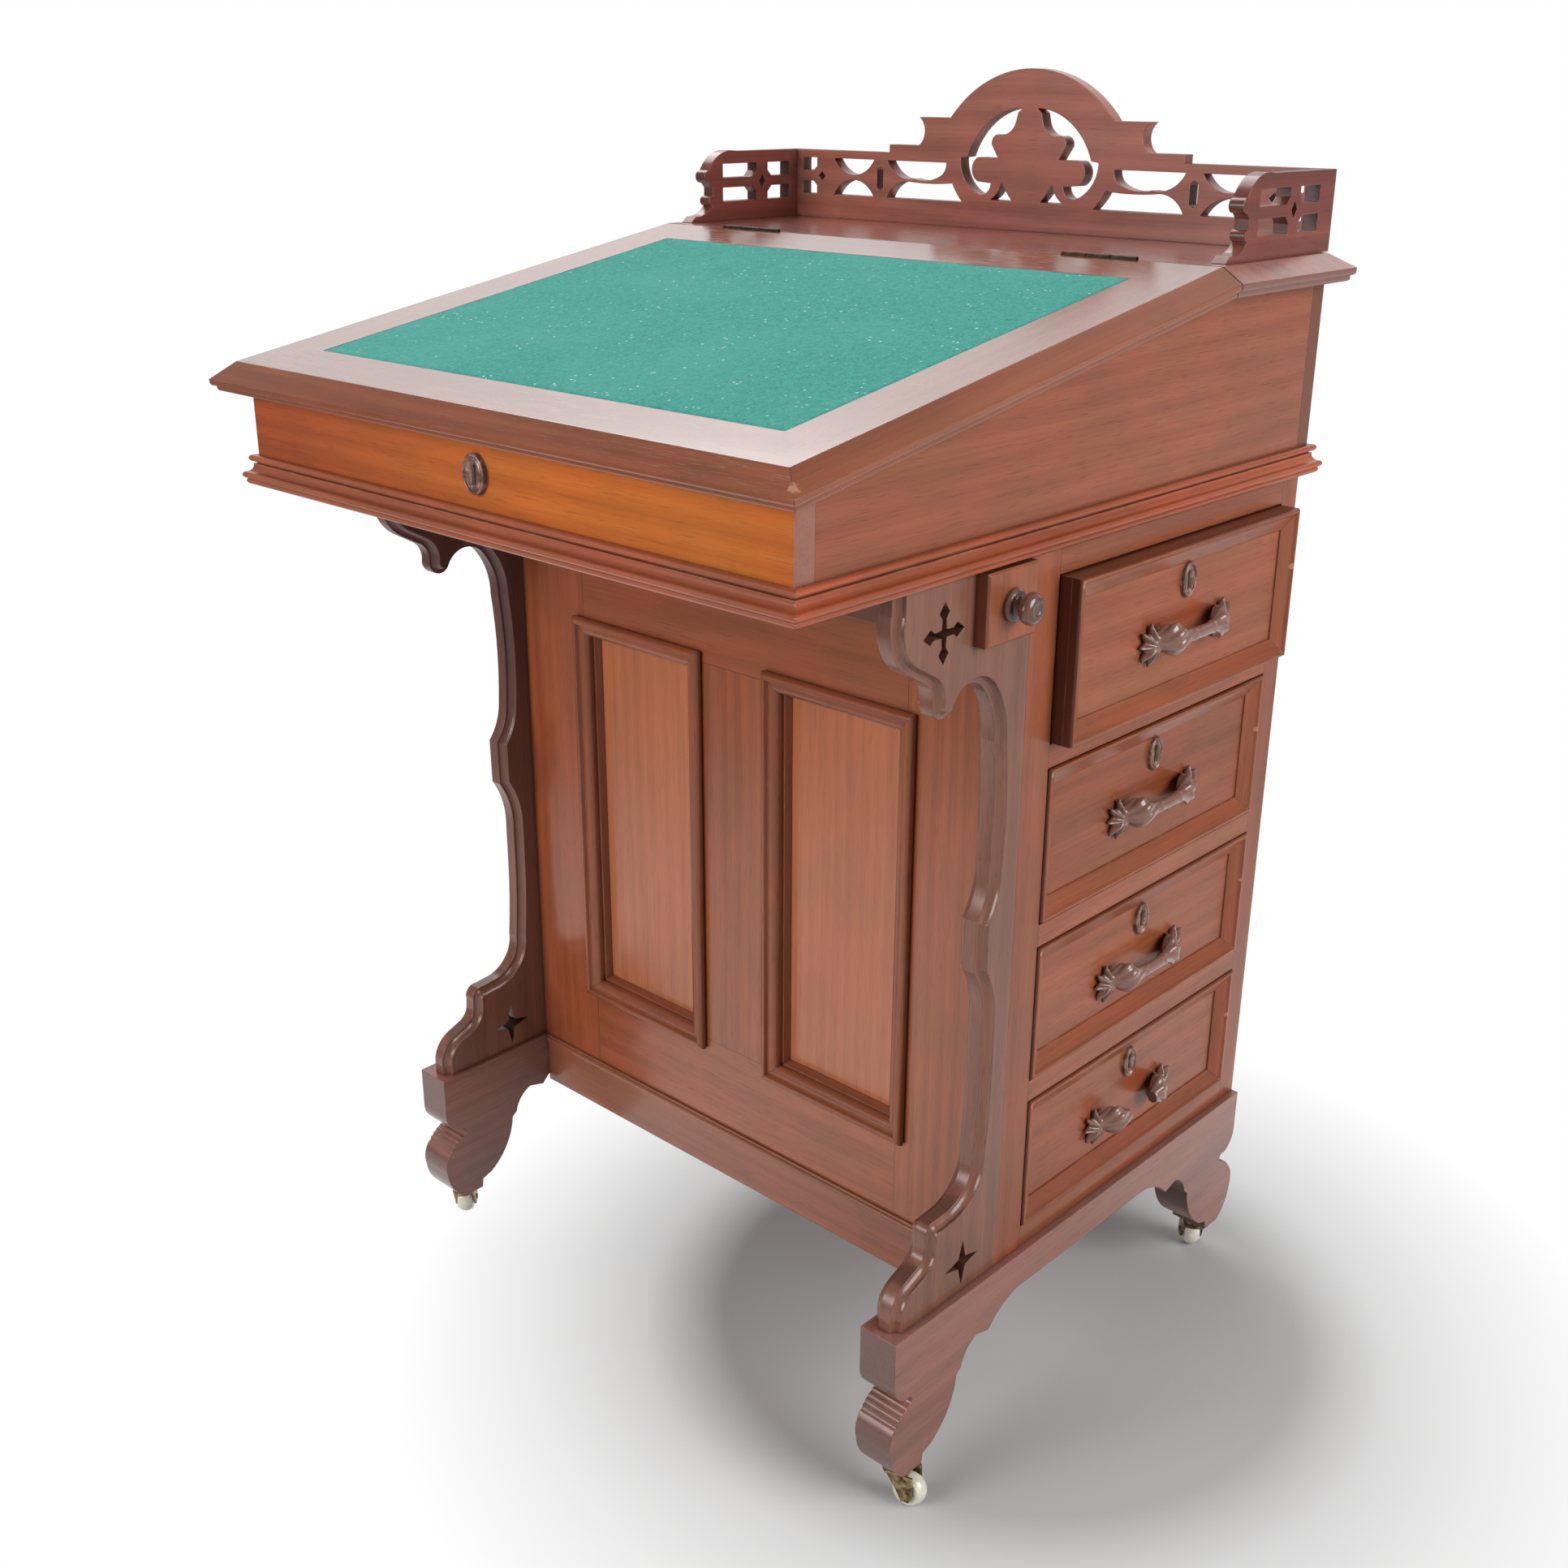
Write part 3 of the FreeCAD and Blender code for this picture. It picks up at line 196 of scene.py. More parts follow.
# ---- wood --------------------------------------------------------------------------------------
class Palette:
    """Colours of one kind of wood, linear, and how strongly its figure shows."""

    def __init__(self, dark, mid, light, figure=1.0, coat=0.35, rough=0.34, wear=0.5, pore=0.35,
                 mottle=1.0):
        self.dark, self.mid, self.light = dark, mid, light
        self.figure, self.coat, self.rough, self.wear, self.pore = figure, coat, rough, wear, pore
        self.mottle = mottle


GALLERY_COLOURS = (0.195, 0.056, 0.040), (0.352, 0.112, 0.080), (0.470, 0.165, 0.120)
GALLERY = Palette(*GALLERY_COLOURS, figure=1.2, coat=0.5, rough=0.30)
LEDGE = Palette(*GALLERY_COLOURS, coat=1.0, rough=0.28)
GALLERY_SIDE = Palette((0.100, 0.024, 0.018), (0.190, 0.046, 0.034), (0.285, 0.080, 0.056),
                       coat=0.5, rough=0.30)
WALNUT = Palette((0.155, 0.036, 0.016), (0.265, 0.070, 0.031), (0.365, 0.112, 0.050))
LID = Palette((0.150, 0.034, 0.014), (0.262, 0.068, 0.028), (0.360, 0.110, 0.046),
              coat=1.0, rough=0.20)
PANEL = Palette((0.275, 0.072, 0.028), (0.415, 0.122, 0.050), (0.510, 0.165, 0.070),
                figure=0.75, coat=0.8, pore=0.2, mottle=0.6)
GOLDEN = Palette((0.335, 0.068, 0.010), (0.520, 0.124, 0.018), (0.670, 0.190, 0.030),
                 figure=1.1, rough=0.28)
STILE = Palette((0.185, 0.044, 0.015), (0.310, 0.080, 0.030), (0.400, 0.118, 0.050), coat=0.8)
DARK = Palette((0.110, 0.038, 0.024), (0.200, 0.076, 0.048), (0.280, 0.115, 0.076),
               figure=0.8, coat=0.5, rough=0.30)
# The brackets' DARK wood, lightened and greyed for the feet as painted reflection.
FOOT = Palette((0.142, 0.054, 0.040), (0.258, 0.105, 0.078), (0.350, 0.152, 0.116),
               figure=0.8, coat=0.5, rough=0.30)
BASE = Palette((0.150, 0.040, 0.018), (0.250, 0.074, 0.034), (0.335, 0.112, 0.054), coat=0.8)
DRAWER = Palette((0.155, 0.034, 0.013), (0.265, 0.064, 0.024), (0.365, 0.104, 0.040))
MOULDING = Palette((0.195, 0.044, 0.018), (0.340, 0.082, 0.036), (0.460, 0.135, 0.062),
                   coat=0.6, wear=0.8)
CARVED = Palette((0.110, 0.046, 0.034), (0.215, 0.103, 0.078), (0.350, 0.200, 0.158),
                 figure=0.6, coat=0.9, rough=0.24, wear=0.4, mottle=0.0)
KNOB = Palette((0.095, 0.036, 0.024), (0.175, 0.070, 0.048), (0.250, 0.110, 0.078),
               figure=0.5, coat=0.8, rough=0.22, wear=0.2, mottle=0.0)
INNER = Palette((0.230, 0.112, 0.050), (0.400, 0.215, 0.103), (0.530, 0.315, 0.165),
                coat=0.0, rough=0.62, wear=0.2, pore=0.6, mottle=0.0)
WORN = (0.62, 0.330, 0.190)             # bare wood, where the finish is rubbed off
END_TINT = (0.62, 0.82, 0.95)           # of the middle tone, on end grain
MOTTLE_TINT = (0.88, 0.98, 0.95)

# How often each layer of the figure repeats in a metre: across the grain, twice, and along it.
WARP = (5.0, 5.0, 1.1)
RING = (1.0, 1.0, 0.07)                 # before the wave's own scale
BROAD = (9.0, 9.0, 1.6)
RIPPLE = (26.0, 26.0, 9.0)              # in the polish
MOTTLE = (30.0, 30.0, 15.0)
STREAK = (70.0, 70.0, 1.8)
FIBRE = (420.0, 420.0, 7.0)
FLECK = (900.0, 900.0, 900.0)           # in the end grain
PORE = (1500.0, 1500.0, 55.0)
# The same for what isn't tied to the grain.
PATCH, NICK, SPOT_EDGE, UNEVEN = 34.0, 62.0, 190.0, 260.0

ORDER = {"x": (1, 2, 0), "y": (0, 2, 1), "z": (0, 1, 2)}
CROSS_SEED = 0.37                       # sets a crossing board's figure apart from its neighbour's


def grain_coordinates(t, xyz, axis, seed):
    """Coordinates with the grain along the third one, moved so that each board differs."""
    parts = t.node("ShaderNodeSeparateXYZ", {0: xyz}).outputs
    made = t.node("ShaderNodeCombineXYZ", {i: parts[k] for i, k in enumerate(ORDER[axis])}).outputs[0]
    return t.vector("ADD", made, (0.37 * seed, 0.11 + 0.23 * seed, 1.7 * seed))


def component(t, vector, axis):
    return t.node("ShaderNodeSeparateXYZ", {0: vector}).outputs["xyz".index(axis)]


def scaled(colour, share):
    return tuple(share * c for c in colour)


def figure(t, uvw, palette):
    """Tone of the figure, 0 dark to 1 light, and its broad bands, its fibre and its pores."""
    shift = t.vector("SUBTRACT", t.noise(t.times(uvw, WARP), 1.0, 2.0, colour=True), (0.5, 0.5, 0.5))
    warped = t.vector("ADD", uvw, t.vector("SCALE", shift, scale=0.055))
    rings = t.node("ShaderNodeTexWave",
                   {"Vector": t.times(warped, RING), "Scale": 26.0, "Distortion": 2.2, "Detail": 3.0,
                    "Detail Scale": 1.4, "Detail Roughness": 0.6},
                   wave_type="RINGS", rings_direction="Z", wave_profile="SIN").outputs["Fac"]
    broad = t.noise(t.times(uvw, BROAD), 1.0, 4.0, 0.6, 0.6)
    fibre = t.noise(t.times(uvw, FIBRE), 1.0, 3.0, 0.6)
    streak = t.noise(t.times(uvw, STREAK), 1.0, 3.0, 0.55, 0.3)
    pores = t.span(t.noise(t.times(uvw, PORE), 1.0, 1.0), 0.58, 0.72)
    tone = 0.5
    for layer, share in ((rings, 0.12), (broad, 0.80), (streak, 0.34)):
        tone = t.math("MULTIPLY_ADD", t.math("SUBTRACT", layer, 0.5), share * palette.figure, tone)
    tone = t.math("MULTIPLY_ADD", t.math("SUBTRACT", fibre, 0.5), 0.38, tone, clamp=True)
    return tone, broad, fibre, pores


def wear(t, place, edge, spots, most):
    """Where the finish is gone: along edges in patches, in nicks, and at each spot, a place and
    a radius."""
    patch = t.noise(place, PATCH, 4.0, 0.65)
    worn = t.math("MULTIPLY", edge, t.span(patch, 0.46, 0.66, 0.0, most))
    for centre, radius in spots:
        near = t.vector("DISTANCE", place, centre)
        ragged = t.math("MULTIPLY_ADD", t.noise(place, SPOT_EDGE, 3.0, 0.7), 1.3 * radius, near)
        worn = t.math("MAXIMUM", worn, t.span(ragged, 1.45 * radius, 1.15 * radius, 0.0, 0.8))
    cells = t.node("ShaderNodeTexVoronoi", {"Vector": place, "Scale": NICK}).outputs["Distance"]
    nicks = t.math("MULTIPLY", t.span(cells, 0.05, 0.015), t.span(patch, 0.60, 0.72, 0.0, most))
    return t.math("MAXIMUM", worn, nicks)


def wood(name, palette, axis, seed, cross=None, cross_axis=None, slope=0.0, spots=(), shades=()):
    """Polished wood. cross(t, xyz) gives 1 where the grain runs along cross_axis instead, and as a
    second value the line between two boards, 0 to 1. Each shade is (axis, from, to, tint): the
    colour turns to the tint towards the second place. Some are the wood's own tints, some painted
    shade."""
    material, t = new_material(name)
    coordinates = t.node("ShaderNodeTexCoord").outputs
    place = coordinates["Object"]
    xyz, normal = place, coordinates["Normal"]
    if slope:
        xyz, normal = [t.node("ShaderNodeVectorRotate", {"Vector": v, "Axis": (1, 0, 0), "Angle": -slope},
                              rotation_type="AXIS_ANGLE").outputs[0] for v in (xyz, normal)]
    uvw = grain_coordinates(t, xyz, axis, seed)
    facing = component(t, normal, axis)
    if cross:
        mask, joint = cross(t, xyz)
        uvw = t.mix_vector(mask, uvw, grain_coordinates(t, xyz, cross_axis, seed + CROSS_SEED))
        facing = t.mix_value(mask, facing, component(t, normal, cross_axis))
    end_grain = t.span(t.math("ABSOLUTE", facing), 0.80, 0.94)

    tone, broad, fibre, pores = figure(t, uvw, palette)
    colour = t.ramp(tone, [(0.12, palette.dark), (0.50, palette.mid), (0.88, palette.light)])
    hue = t.noise(t.times(uvw, MOTTLE), 1.0, 1.0, 0.5, 0.4)
    colour = t.mix(t.span(hue, 0.38, 0.62, 0.0, palette.mottle), colour, t.tinted(colour, MOTTLE_TINT))
    colour = t.mix(t.math("MULTIPLY", pores, palette.pore), colour, scaled(palette.dark, 0.45))
    ends = t.mix(t.noise(t.times(uvw, FLECK), 1.0, 2.0), scaled(palette.dark, 0.62),
                 tuple(c * share for c, share in zip(palette.mid, END_TINT)))
    colour = t.mix(t.math("MULTIPLY", end_grain, 0.85), colour, ends)
    for along, start, end, tint in shades:
        colour = t.mix(t.span(component(t, place, along), start, end), colour, t.tinted(colour, tint))
    if cross:
        colour = t.mix(joint, colour, scaled(palette.dark, 0.25))
    rounded, edge = t.bevelled(0.0011, 0.90)
    worn = wear(t, place, edge, spots, palette.wear)
    colour = t.mix(worn, colour, tuple(c * 0.45 + bare * 0.55 for c, bare in zip(palette.light, WORN)))
    # Painted shade: darker in hollows and where parts meet.
    colour = t.mix(t.span(t.openness(0.006), 0.85, 0.25, 0.0, 0.6), colour, scaled(palette.dark, 0.35))

    rough = t.math("MULTIPLY_ADD", broad, 0.16, palette.rough - 0.08)
    rough = t.math("MULTIPLY_ADD", worn, 0.22, t.math("MULTIPLY_ADD", pores, 0.12, rough))
    height = t.math("SUBTRACT", t.math("MULTIPLY", fibre, 0.35), t.math("MULTIPLY", pores, 0.9))
    height = t.math("MULTIPLY_ADD", t.noise(place, UNEVEN, 2.0), 0.25, height)
    ripple = t.noise(t.times(uvw, RIPPLE), 1.0, 2.0)
    t.surface({"Base Color": colour, "Roughness": rough, "Normal": t.bump(height, 0.35, 0.00012, rounded),
               "Coat Normal": t.bump(ripple, 0.30, 0.0006, rounded), "Coat Weight": palette.coat,
               "Coat Roughness": 0.17, "Specular IOR Level": 0.3})
    return material


# ---- which way the grain runs within a made-up board -------------------------------------------
LINE_HALF = 0.00035         # half width of the line between two boards
FRONT_GAP = 0.002           # a fixed front's strips end within this of its edge


def inside(t, value, low, high):
    return t.math("MULTIPLY", t.math("GREATER_THAN", value, low), t.math("LESS_THAN", value, high))


def near_line(t, value, place):
    away = t.math("ABSOLUTE", t.math("SUBTRACT", value, place))
    return t.span(away, LINE_HALF, 0.4 * LINE_HALF, 0.0, 0.8)


def off_middle(t, xyz, axis, centre):
    return t.math("ABSOLUTE", t.math("SUBTRACT", component(t, xyz, axis), centre))


def past_edge(t, xyz, axis, centre, half):
    """How far outside a stretch that reaches half each way from its centre; negative within it."""
    return t.math("SUBTRACT", off_middle(t, xyz, axis, centre), half)


def front_frame_cross(t, xyz):
    """Outer stiles over the whole height, the centre stile between the rails."""
    reach = off_middle(t, xyz, "x", MID_X)
    z = component(t, xyz, "z")
    low, high = PANELS[0].z + REBATE, PANELS[1].z - REBATE
    outer = t.math("GREATER_THAN", reach, PANEL_EDGE)
    central = t.math("LESS_THAN", reach, CENTRE_STILE / 2)
    ends = t.math("MULTIPLY", central, t.math("MAXIMUM", near_line(t, z, low), near_line(t, z, high)))
    return (t.math("MAXIMUM", outer, t.math("MULTIPLY", central, inside(t, z, low, high))),
            t.math("MAXIMUM", near_line(t, reach, PANEL_EDGE), ends))


def near_strip(t, a, b, width):
    """On a strip of a mitred frame: a is past_edge across the strip, b along it."""
    return t.math("MULTIPLY", t.math("GREATER_THAN", a, b), t.math("GREATER_THAN", a, -width))


def near_mitre(t, a, b, width):
    close = t.span(t.math("ABSOLUTE", t.math("SUBTRACT", a, b)), 0.0006, 0.0002, 0.0, 0.6)
    return t.math("MULTIPLY", close, t.math("GREATER_THAN", t.math("MAXIMUM", a, b), -width))


def ring_cross(centre_a, half_a, centre_b, half_b, axes, width):
    """A mitred frame: the strips along the second axis of axes, within width of the edge."""
    def made(t, xyz):
        a = past_edge(t, xyz, axes[0], centre_a, half_a)
        b = past_edge(t, xyz, axes[1], centre_b, half_b)
        return near_strip(t, a, b, width), near_mitre(t, a, b, width)
    return made


def node_ring(node, axes, width):
    return ring_cross(*centre_half(node, axes[0]), *centre_half(node, axes[1]), axes, width)


def side_frame_cross(t, xyz):
    """Two upright stiles, the rest rails."""
    y = component(t, xyz, "y")
    low, high = SIDE[0].y + SIDE_FRONT_STILE, SIDE[1].y - SIDE_REAR_STILE
    stiles = t.math("SUBTRACT", 1.0, inside(t, y, low, high))
    return stiles, t.math("MAXIMUM", near_line(t, y, low), near_line(t, y, high))


def panel_moulding_cross(t, xyz):
    """The two mitred rings of the pedestal front, folded onto one."""
    centre = (PANEL_EDGE + CENTRE_STILE / 2) / 2
    half = (PANEL_EDGE - CENTRE_STILE / 2) / 2
    reach = off_middle(t, xyz, "x", MID_X)
    a = t.math("SUBTRACT", t.math("ABSOLUTE", t.math("SUBTRACT", reach, centre)), half)
    middle_z, half_z = centre_half("case_front_panels", "z")
    b = past_edge(t, xyz, "z", middle_z, half_z - REBATE)
    return t.math("GREATER_THAN", a, b), near_mitre(t, a, b, WHOLE_PIECE)


def false_front_cross(t, xyz):
    """The left side's fixed fronts stand over each other, each a mitred frame."""
    masks, joints = [], []
    for number in DRAWERS:
        a, b = [past_edge(t, xyz, axis, *centre_half(f"drawer_{number}_front", axis)) for axis in "yz"]
        masks.append(t.math("MULTIPLY", t.math("LESS_THAN", b, FRONT_GAP),
                            near_strip(t, a, b, DRAWER_STRIP)))
        joints.append(near_mitre(t, a, b, DRAWER_STRIP))
    return t.highest(masks), t.highest(joints)


# ---- other materials ---------------------------------------------------------------------------
def brass(name, dark, bright, rough, metal=0.85):
    """Old brass, or with less metal a worn brown plate: bright where it is handled and along its
    edges, dull in the hollows."""
    material, t = new_material(name)
    xyz = t.node("ShaderNodeTexCoord").outputs["Object"]
    rounded, edge = t.bevelled(0.0007, 0.86)
    bare = t.math("MAXIMUM", t.span(t.noise(xyz, 140.0, 5.0, 0.65, 0.4), 0.42, 0.68), edge)
    bare = t.math("MULTIPLY", bare, t.span(t.openness(0.005), 0.3, 0.85))
    t.surface({"Base Color": t.mix(bare, dark, bright), "Metallic": metal,
               "Roughness": t.math("MULTIPLY_ADD", t.noise(xyz, 320.0, 3.0), 0.22, rough),
               "Normal": t.bump(t.noise(xyz, 900.0, 3.0), 0.3, 0.0001, rounded)})
    return material


def porcelain(name):
    """Glazed cream ceramic with a fine craze and patches of grey wear."""
    material, t = new_material(name)
    xyz = t.node("ShaderNodeTexCoord").outputs["Object"]
    cloudy = t.noise(xyz, 90.0, 4.0, 0.6)
    colour = t.mix(cloudy, (0.60, 0.55, 0.43), (0.82, 0.78, 0.68))
    craze = t.node("ShaderNodeTexVoronoi", {"Vector": xyz, "Scale": 420.0},
                   feature="DISTANCE_TO_EDGE").outputs["Distance"]
    colour = t.mix(t.span(craze, 0.03, 0.0, 0.0, 0.35), colour, (0.30, 0.25, 0.18))
    grime_and_painted_shade = t.noise(xyz, 320.0, 4.0, 0.7)
    colour = t.mix(t.span(grime_and_painted_shade, 0.55, 0.75, 0.0, 0.45), colour, (0.30, 0.27, 0.22))
    t.surface({"Base Color": colour, "Roughness": t.math("MULTIPLY_ADD", cloudy, 0.25, 0.12),
               "Normal": t.bump(cloudy, 0.2, 0.0001), "Coat Weight": 0.4, "Coat Roughness": 0.1})
    return material


def baize(name):
    """Short felted nap, a little lighter where it is rubbed, with stray white specks."""
    material, t = new_material(name)
    xyz = t.node("ShaderNodeTexCoord").outputs["Object"]
    rubbed = t.noise(xyz, 9.0, 3.0, 0.55, 0.5)
    nap = t.noise(xyz, 620.0, 4.0, 0.7)
    tuft = t.noise(t.times(xyz, (240.0, 200.0, 240.0)), 1.0, 3.0, 0.6, 0.8)
    colour = t.mix(t.span(nap, 0.30, 0.70), (0.010, 0.200, 0.160), (0.045, 0.360, 0.300))
    colour = t.mix(t.span(tuft, 0.35, 0.68, 0.0, 0.55), colour, (0.065, 0.390, 0.325))
    colour = t.mix(t.span(rubbed, 0.40, 0.70, 0.0, 0.30), colour, (0.090, 0.390, 0.335))
    specks = t.node("ShaderNodeTexVoronoi", {"Vector": xyz, "Scale": 240.0}).outputs
    chosen = t.span(t.node("ShaderNodeSeparateColor", {0: specks["Color"]}).outputs[0], 0.80, 0.84)
    dot = t.math("MULTIPLY", t.span(specks["Distance"], 0.30, 0.16), chosen)
    dot = t.math("MULTIPLY", dot, t.span(t.noise(xyz, 26.0, 3.0, 0.6), 0.45, 0.62, 0.15, 0.9))
    colour = t.mix(dot, colour, (0.62, 0.80, 0.74))
    height = t.math("MULTIPLY_ADD", tuft, 0.8, nap)
    t.surface({"Base Color": colour, "Roughness": t.math("MULTIPLY_ADD", nap, 0.1, 0.85),
               "Normal": t.bump(height, 0.7, 0.0009), "Sheen Weight": 0.15, "Sheen Roughness": 0.45,
               "Sheen Tint": (0.55, 0.95, 0.86, 1.0), "Specular IOR Level": 0.2})
    return material


# ---- the materials of the CAD nodes ------------------------------------------------------------
BRASS = brass("old_brass", (0.10, 0.060, 0.028), (0.46, 0.335, 0.165), 0.22)
TARNISHED = brass("tarnished_brass", (0.030, 0.018, 0.012), (0.085, 0.050, 0.030), 0.42)
PLATE = brass("keyhole_plate", (0.130, 0.060, 0.042), (0.400, 0.230, 0.175), 0.24, metal=0.25)
# Near-black material of the plugs of painted shadow in the keyholes.
KEYHOLE_SHADOW = brass("painted_keyhole_shadow", (0.004, 0.003, 0.002), (0.014, 0.010, 0.008), 0.6, metal=0.0)
PORCELAIN = porcelain("porcelain")
HANDLE_WOOD = wood("carved_wood", CARVED, "y", 3)
BAIZE = baize("baize")


def turned_box(node):
    """Middle and half size of a node in coordinates turned back by the lid's slope."""
    back = Matrix.Rotation(-LID_SLOPE, 3, "X")
    points = np.array([tuple(back @ v.co) for v in NODES[node].data.vertices])
    return (points.min(0) + points.max(0)) / 2, (points.max(0) - points.min(0)) / 2


cloth_middle, cloth_half = turned_box("lid_baize")
lid_ring = ring_cross(cloth_middle[0], cloth_half[0] + LID_BORDER, cloth_middle[1],
                      cloth_half[1] + LID_BORDER, "xy", WHOLE_PIECE)


def lid_frame_cross(t, xyz):
    """The lid's mitred frame, with a dark line along the edge of the cloth."""
    strip, mitre = lid_ring(t, xyz)
    beyond = t.highest([past_edge(t, xyz, axis, cloth_middle[i], cloth_half[i])
                        for i, axis in enumerate("xy")])
    return strip, t.math("MAXIMUM", mitre, t.span(beyond, 0.0016, 0.0005, 0.0, 0.75))


# Where the finish is knocked off the lid's front edge, the corner first: place and radius.
lid_low, lid_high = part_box("lid_frame")
LID_SPOTS = (((lid_high.x - 0.004, lid_low.y + 0.004, lid_low.z + 0.016), 0.0075),
             ((lid_low.x + 0.10, lid_low.y + 0.006, lid_low.z + 0.022), 0.0035),
             ((MID_X + 0.165, lid_low.y + 0.002, lid_low.z + 0.015), 0.0035),
             ((MID_X + 0.03, lid_low.y + 0.003, lid_low.z + 0.016), 0.0025))

# The arguments of wood() for each node, after its name; the number sets its figure apart.
WOOD_OF = {
    "foot_rail_left": (FOOT, "y", 1),
    "foot_rail_right": (FOOT, "y", 2),
    "base_front_rail": (BASE, "x", 3),
    "base_board": (WALNUT, "x", 4),
    "case_front_panels": (PANEL, "z", 5),
    "pen_drawer_front": (WALNUT, "z", 6),
    "pen_drawer_tray": (INNER, "x", 7),
    "pen_housing": (DARK, "x", 8),
    "box_left_side": (WALNUT, "y", 9),
    "box_right_side": (WALNUT, "y", 10),
    "box_front": (GOLDEN, "x", 11),
    "box_back": (WALNUT, "x", 12),
    "box_bottom": (WALNUT, "x", 13),
    "ledge": (LEDGE, "x", 14),
    "gallery_back": (GALLERY, "x", 15),
    "gallery_left": (GALLERY_SIDE, "y", 16),
    "gallery_right": (GALLERY_SIDE, "y", 17),
    "bracket_left": (DARK, "z", 18),
    "bracket_right": (DARK, "z", 19),
    "drawer_runners": (INNER, "x", 20),
    "pen_drawer_knob": (KNOB, "x", 21),
    "case_front_frame": (STILE, "x", 22, front_frame_cross, "z"),
    "case_front_mouldings": (WALNUT, "x", 23, panel_moulding_cross, "z"),
    "case_right_frame": (WALNUT, "y", 24, side_frame_cross, "z"),
    "case_left_frame": (WALNUT, "y", 25, side_frame_cross, "z"),
    "case_back": (WALNUT, "z", 26, node_ring("case_back", "zx", OUTER_STILE), "x"),
    "box_moulding": (MOULDING, "x", 27, node_ring("box_moulding", "xy", WHOLE_PIECE), "y"),
    "false_drawer_fronts": (WALNUT, "y", 28, false_front_cross, "z"),
    "lid_frame": (LID, "x", 29, lid_frame_cross, "y", LID_SLOPE, LID_SPOTS),
    "lid_panel": (LID, "y", 30, None, None, LID_SLOPE),
}
DRAWER_SEED, INNER_SEED = 30, 40        # and the drawer's number
FACE_IN, FACE_OUT = 0.0012, 0.0002      # a tint of one end face sets in and is full this far behind it
SHADES_OF = {
    # Redder to the left, and the brown of plain walnut on the right end.
    "box_front": (("x", MID_X + 0.5 * HALF, MID_X - HALF, (0.66, 0.55, 1.05)),
                  ("x", MID_X + HALF - FACE_IN, MID_X + HALF - FACE_OUT, (0.95, 1.5, 7.0))),
    # Painted shade: darker towards the left bracket, and on the bracket itself towards its top.
    "case_front_frame": (("x", MID_X + 0.4 * HALF, MID_X - HALF, (0.90, 0.76, 0.66)),),
    "bracket_left": (("z", 0.3, 0.6, (0.62, 0.60, 0.80)),),
    # Browner on the right side.
    "box_moulding": (("x", MID_X + HALF + 0.001, MID_X + HALF + 0.003, (1.10, 0.90, 0.70)),),
}


def dress(node, material):
    """The one material of a CAD node."""
    slots = NODES[node].data.materials
    slots.clear()
    slots.append(material)


for name, row in WOOD_OF.items():
    dress(name, wood(name, *row, shades=SHADES_OF.get(name, ())))

for number in DRAWERS:
    front, inner = f"drawer_{number}_front", f"drawer_{number}_box"
    low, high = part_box(front)
    chips = (((high.x, high.y - 0.004, low.z + 0.62 * (high.z - low.z)), 0.0035),
             ((high.x, low.y + 0.003, high.z - 0.004), 0.003))
    # Painted shade on the front's end face at low y and on its top face.
    grime_and_painted_shade = (("y", low.y + FACE_IN, low.y + FACE_OUT, (0.42, 0.34, 0.34)),
             ("z", high.z - FACE_IN, high.z - FACE_OUT, (0.55, 0.52, 0.58)))
    ring = node_ring(front, "yz", DRAWER_STRIP)
    dress(front, wood(front, DRAWER, "y", DRAWER_SEED + number, ring, "z", spots=chips, shades=grime_and_painted_shade))
    dress(inner, wood(inner, INNER, "x", INNER_SEED + number))

for name in NODES:
    if name.endswith("_fork") or name == "caster_sockets":
        dress(name, BRASS)
    elif name in ("hinge_fixed_leaves", "hinge_lid_leaves"):
        dress(name, TARNISHED)
    elif name.endswith("_wheel"):
        dress(name, PORCELAIN)


# ---- making meshes -----------------------------------------------------------------------------
UP = Vector((0, 0, 1))


def round_angles(count):
    return [2 * math.pi * k / count for k in range(count)]


def mesh_object(name, points, faces, material, smooth=True):
    mesh = bpy.data.meshes.new(name)
    mesh.from_pydata([tuple(p) for p in points], [], faces)
    mesh.validate()
    mesh.update()
    made = bpy.data.objects.new(name, mesh)
    bpy.context.scene.collection.objects.link(made)
    mesh.materials.append(material)
    if smooth:
        mesh.polygons.foreach_set("use_smooth", [True] * len(mesh.polygons))
    return made


def grid_faces(rows, columns, closed):
    """Quads of a grid of points; closed joins the last column to the first."""
    faces = []
    for r in range(rows - 1):
        for c in range(columns if closed else columns - 1):
            n = (c + 1) % columns
            faces.append((r * columns + c, r * columns + n, (r + 1) * columns + n, (r + 1) * columns + c))
    return faces


def closed_tube(rings):
    """Points and faces of a tube through equal rings of points, closed at both ends."""
    count = len(rings[0])
    points = [p for ring in rings for p in ring]
    faces = grid_faces(len(rings), count, True)
    for ring, turned in ((0, True), (len(rings) - 1, False)):
        centre = np.mean(rings[ring], axis=0)
        points.append(tuple(centre))
        for c in range(count):
            a, b = ring * count + c, ring * count + (c + 1) % count
            faces.append((len(points) - 1, b, a) if turned else (len(points) - 1, a, b))
    return points, faces


def merged(shells):
    points, faces = [], []
    for shell_points, shell_faces in shells:
        faces += [tuple(len(points) + i for i in f) for f in shell_faces]
        points += shell_points
    return points, faces


# ---- carved handles ----------------------------------------------------------------------------
# Handles and plates are made round their own middle: u along the piece, v up and w out of the face
# that carries it.
GRIP_END = 0.046            # where the grip runs into a leaf, from the handle's middle
GRIP_RISE = 0.004           # the grip is cut from the upper part of the leaves
GRIP_BOW = 0.0126           # how far the grip's middle bows out beyond its ends
GRIP_STAND = 0.003          # how far the ends' own middle stands off the face
GRIP_LOST = 0.034           # length broken out of the middle of a grip
GRIP_RINGS, GRIP_SPOKES = 60, 56
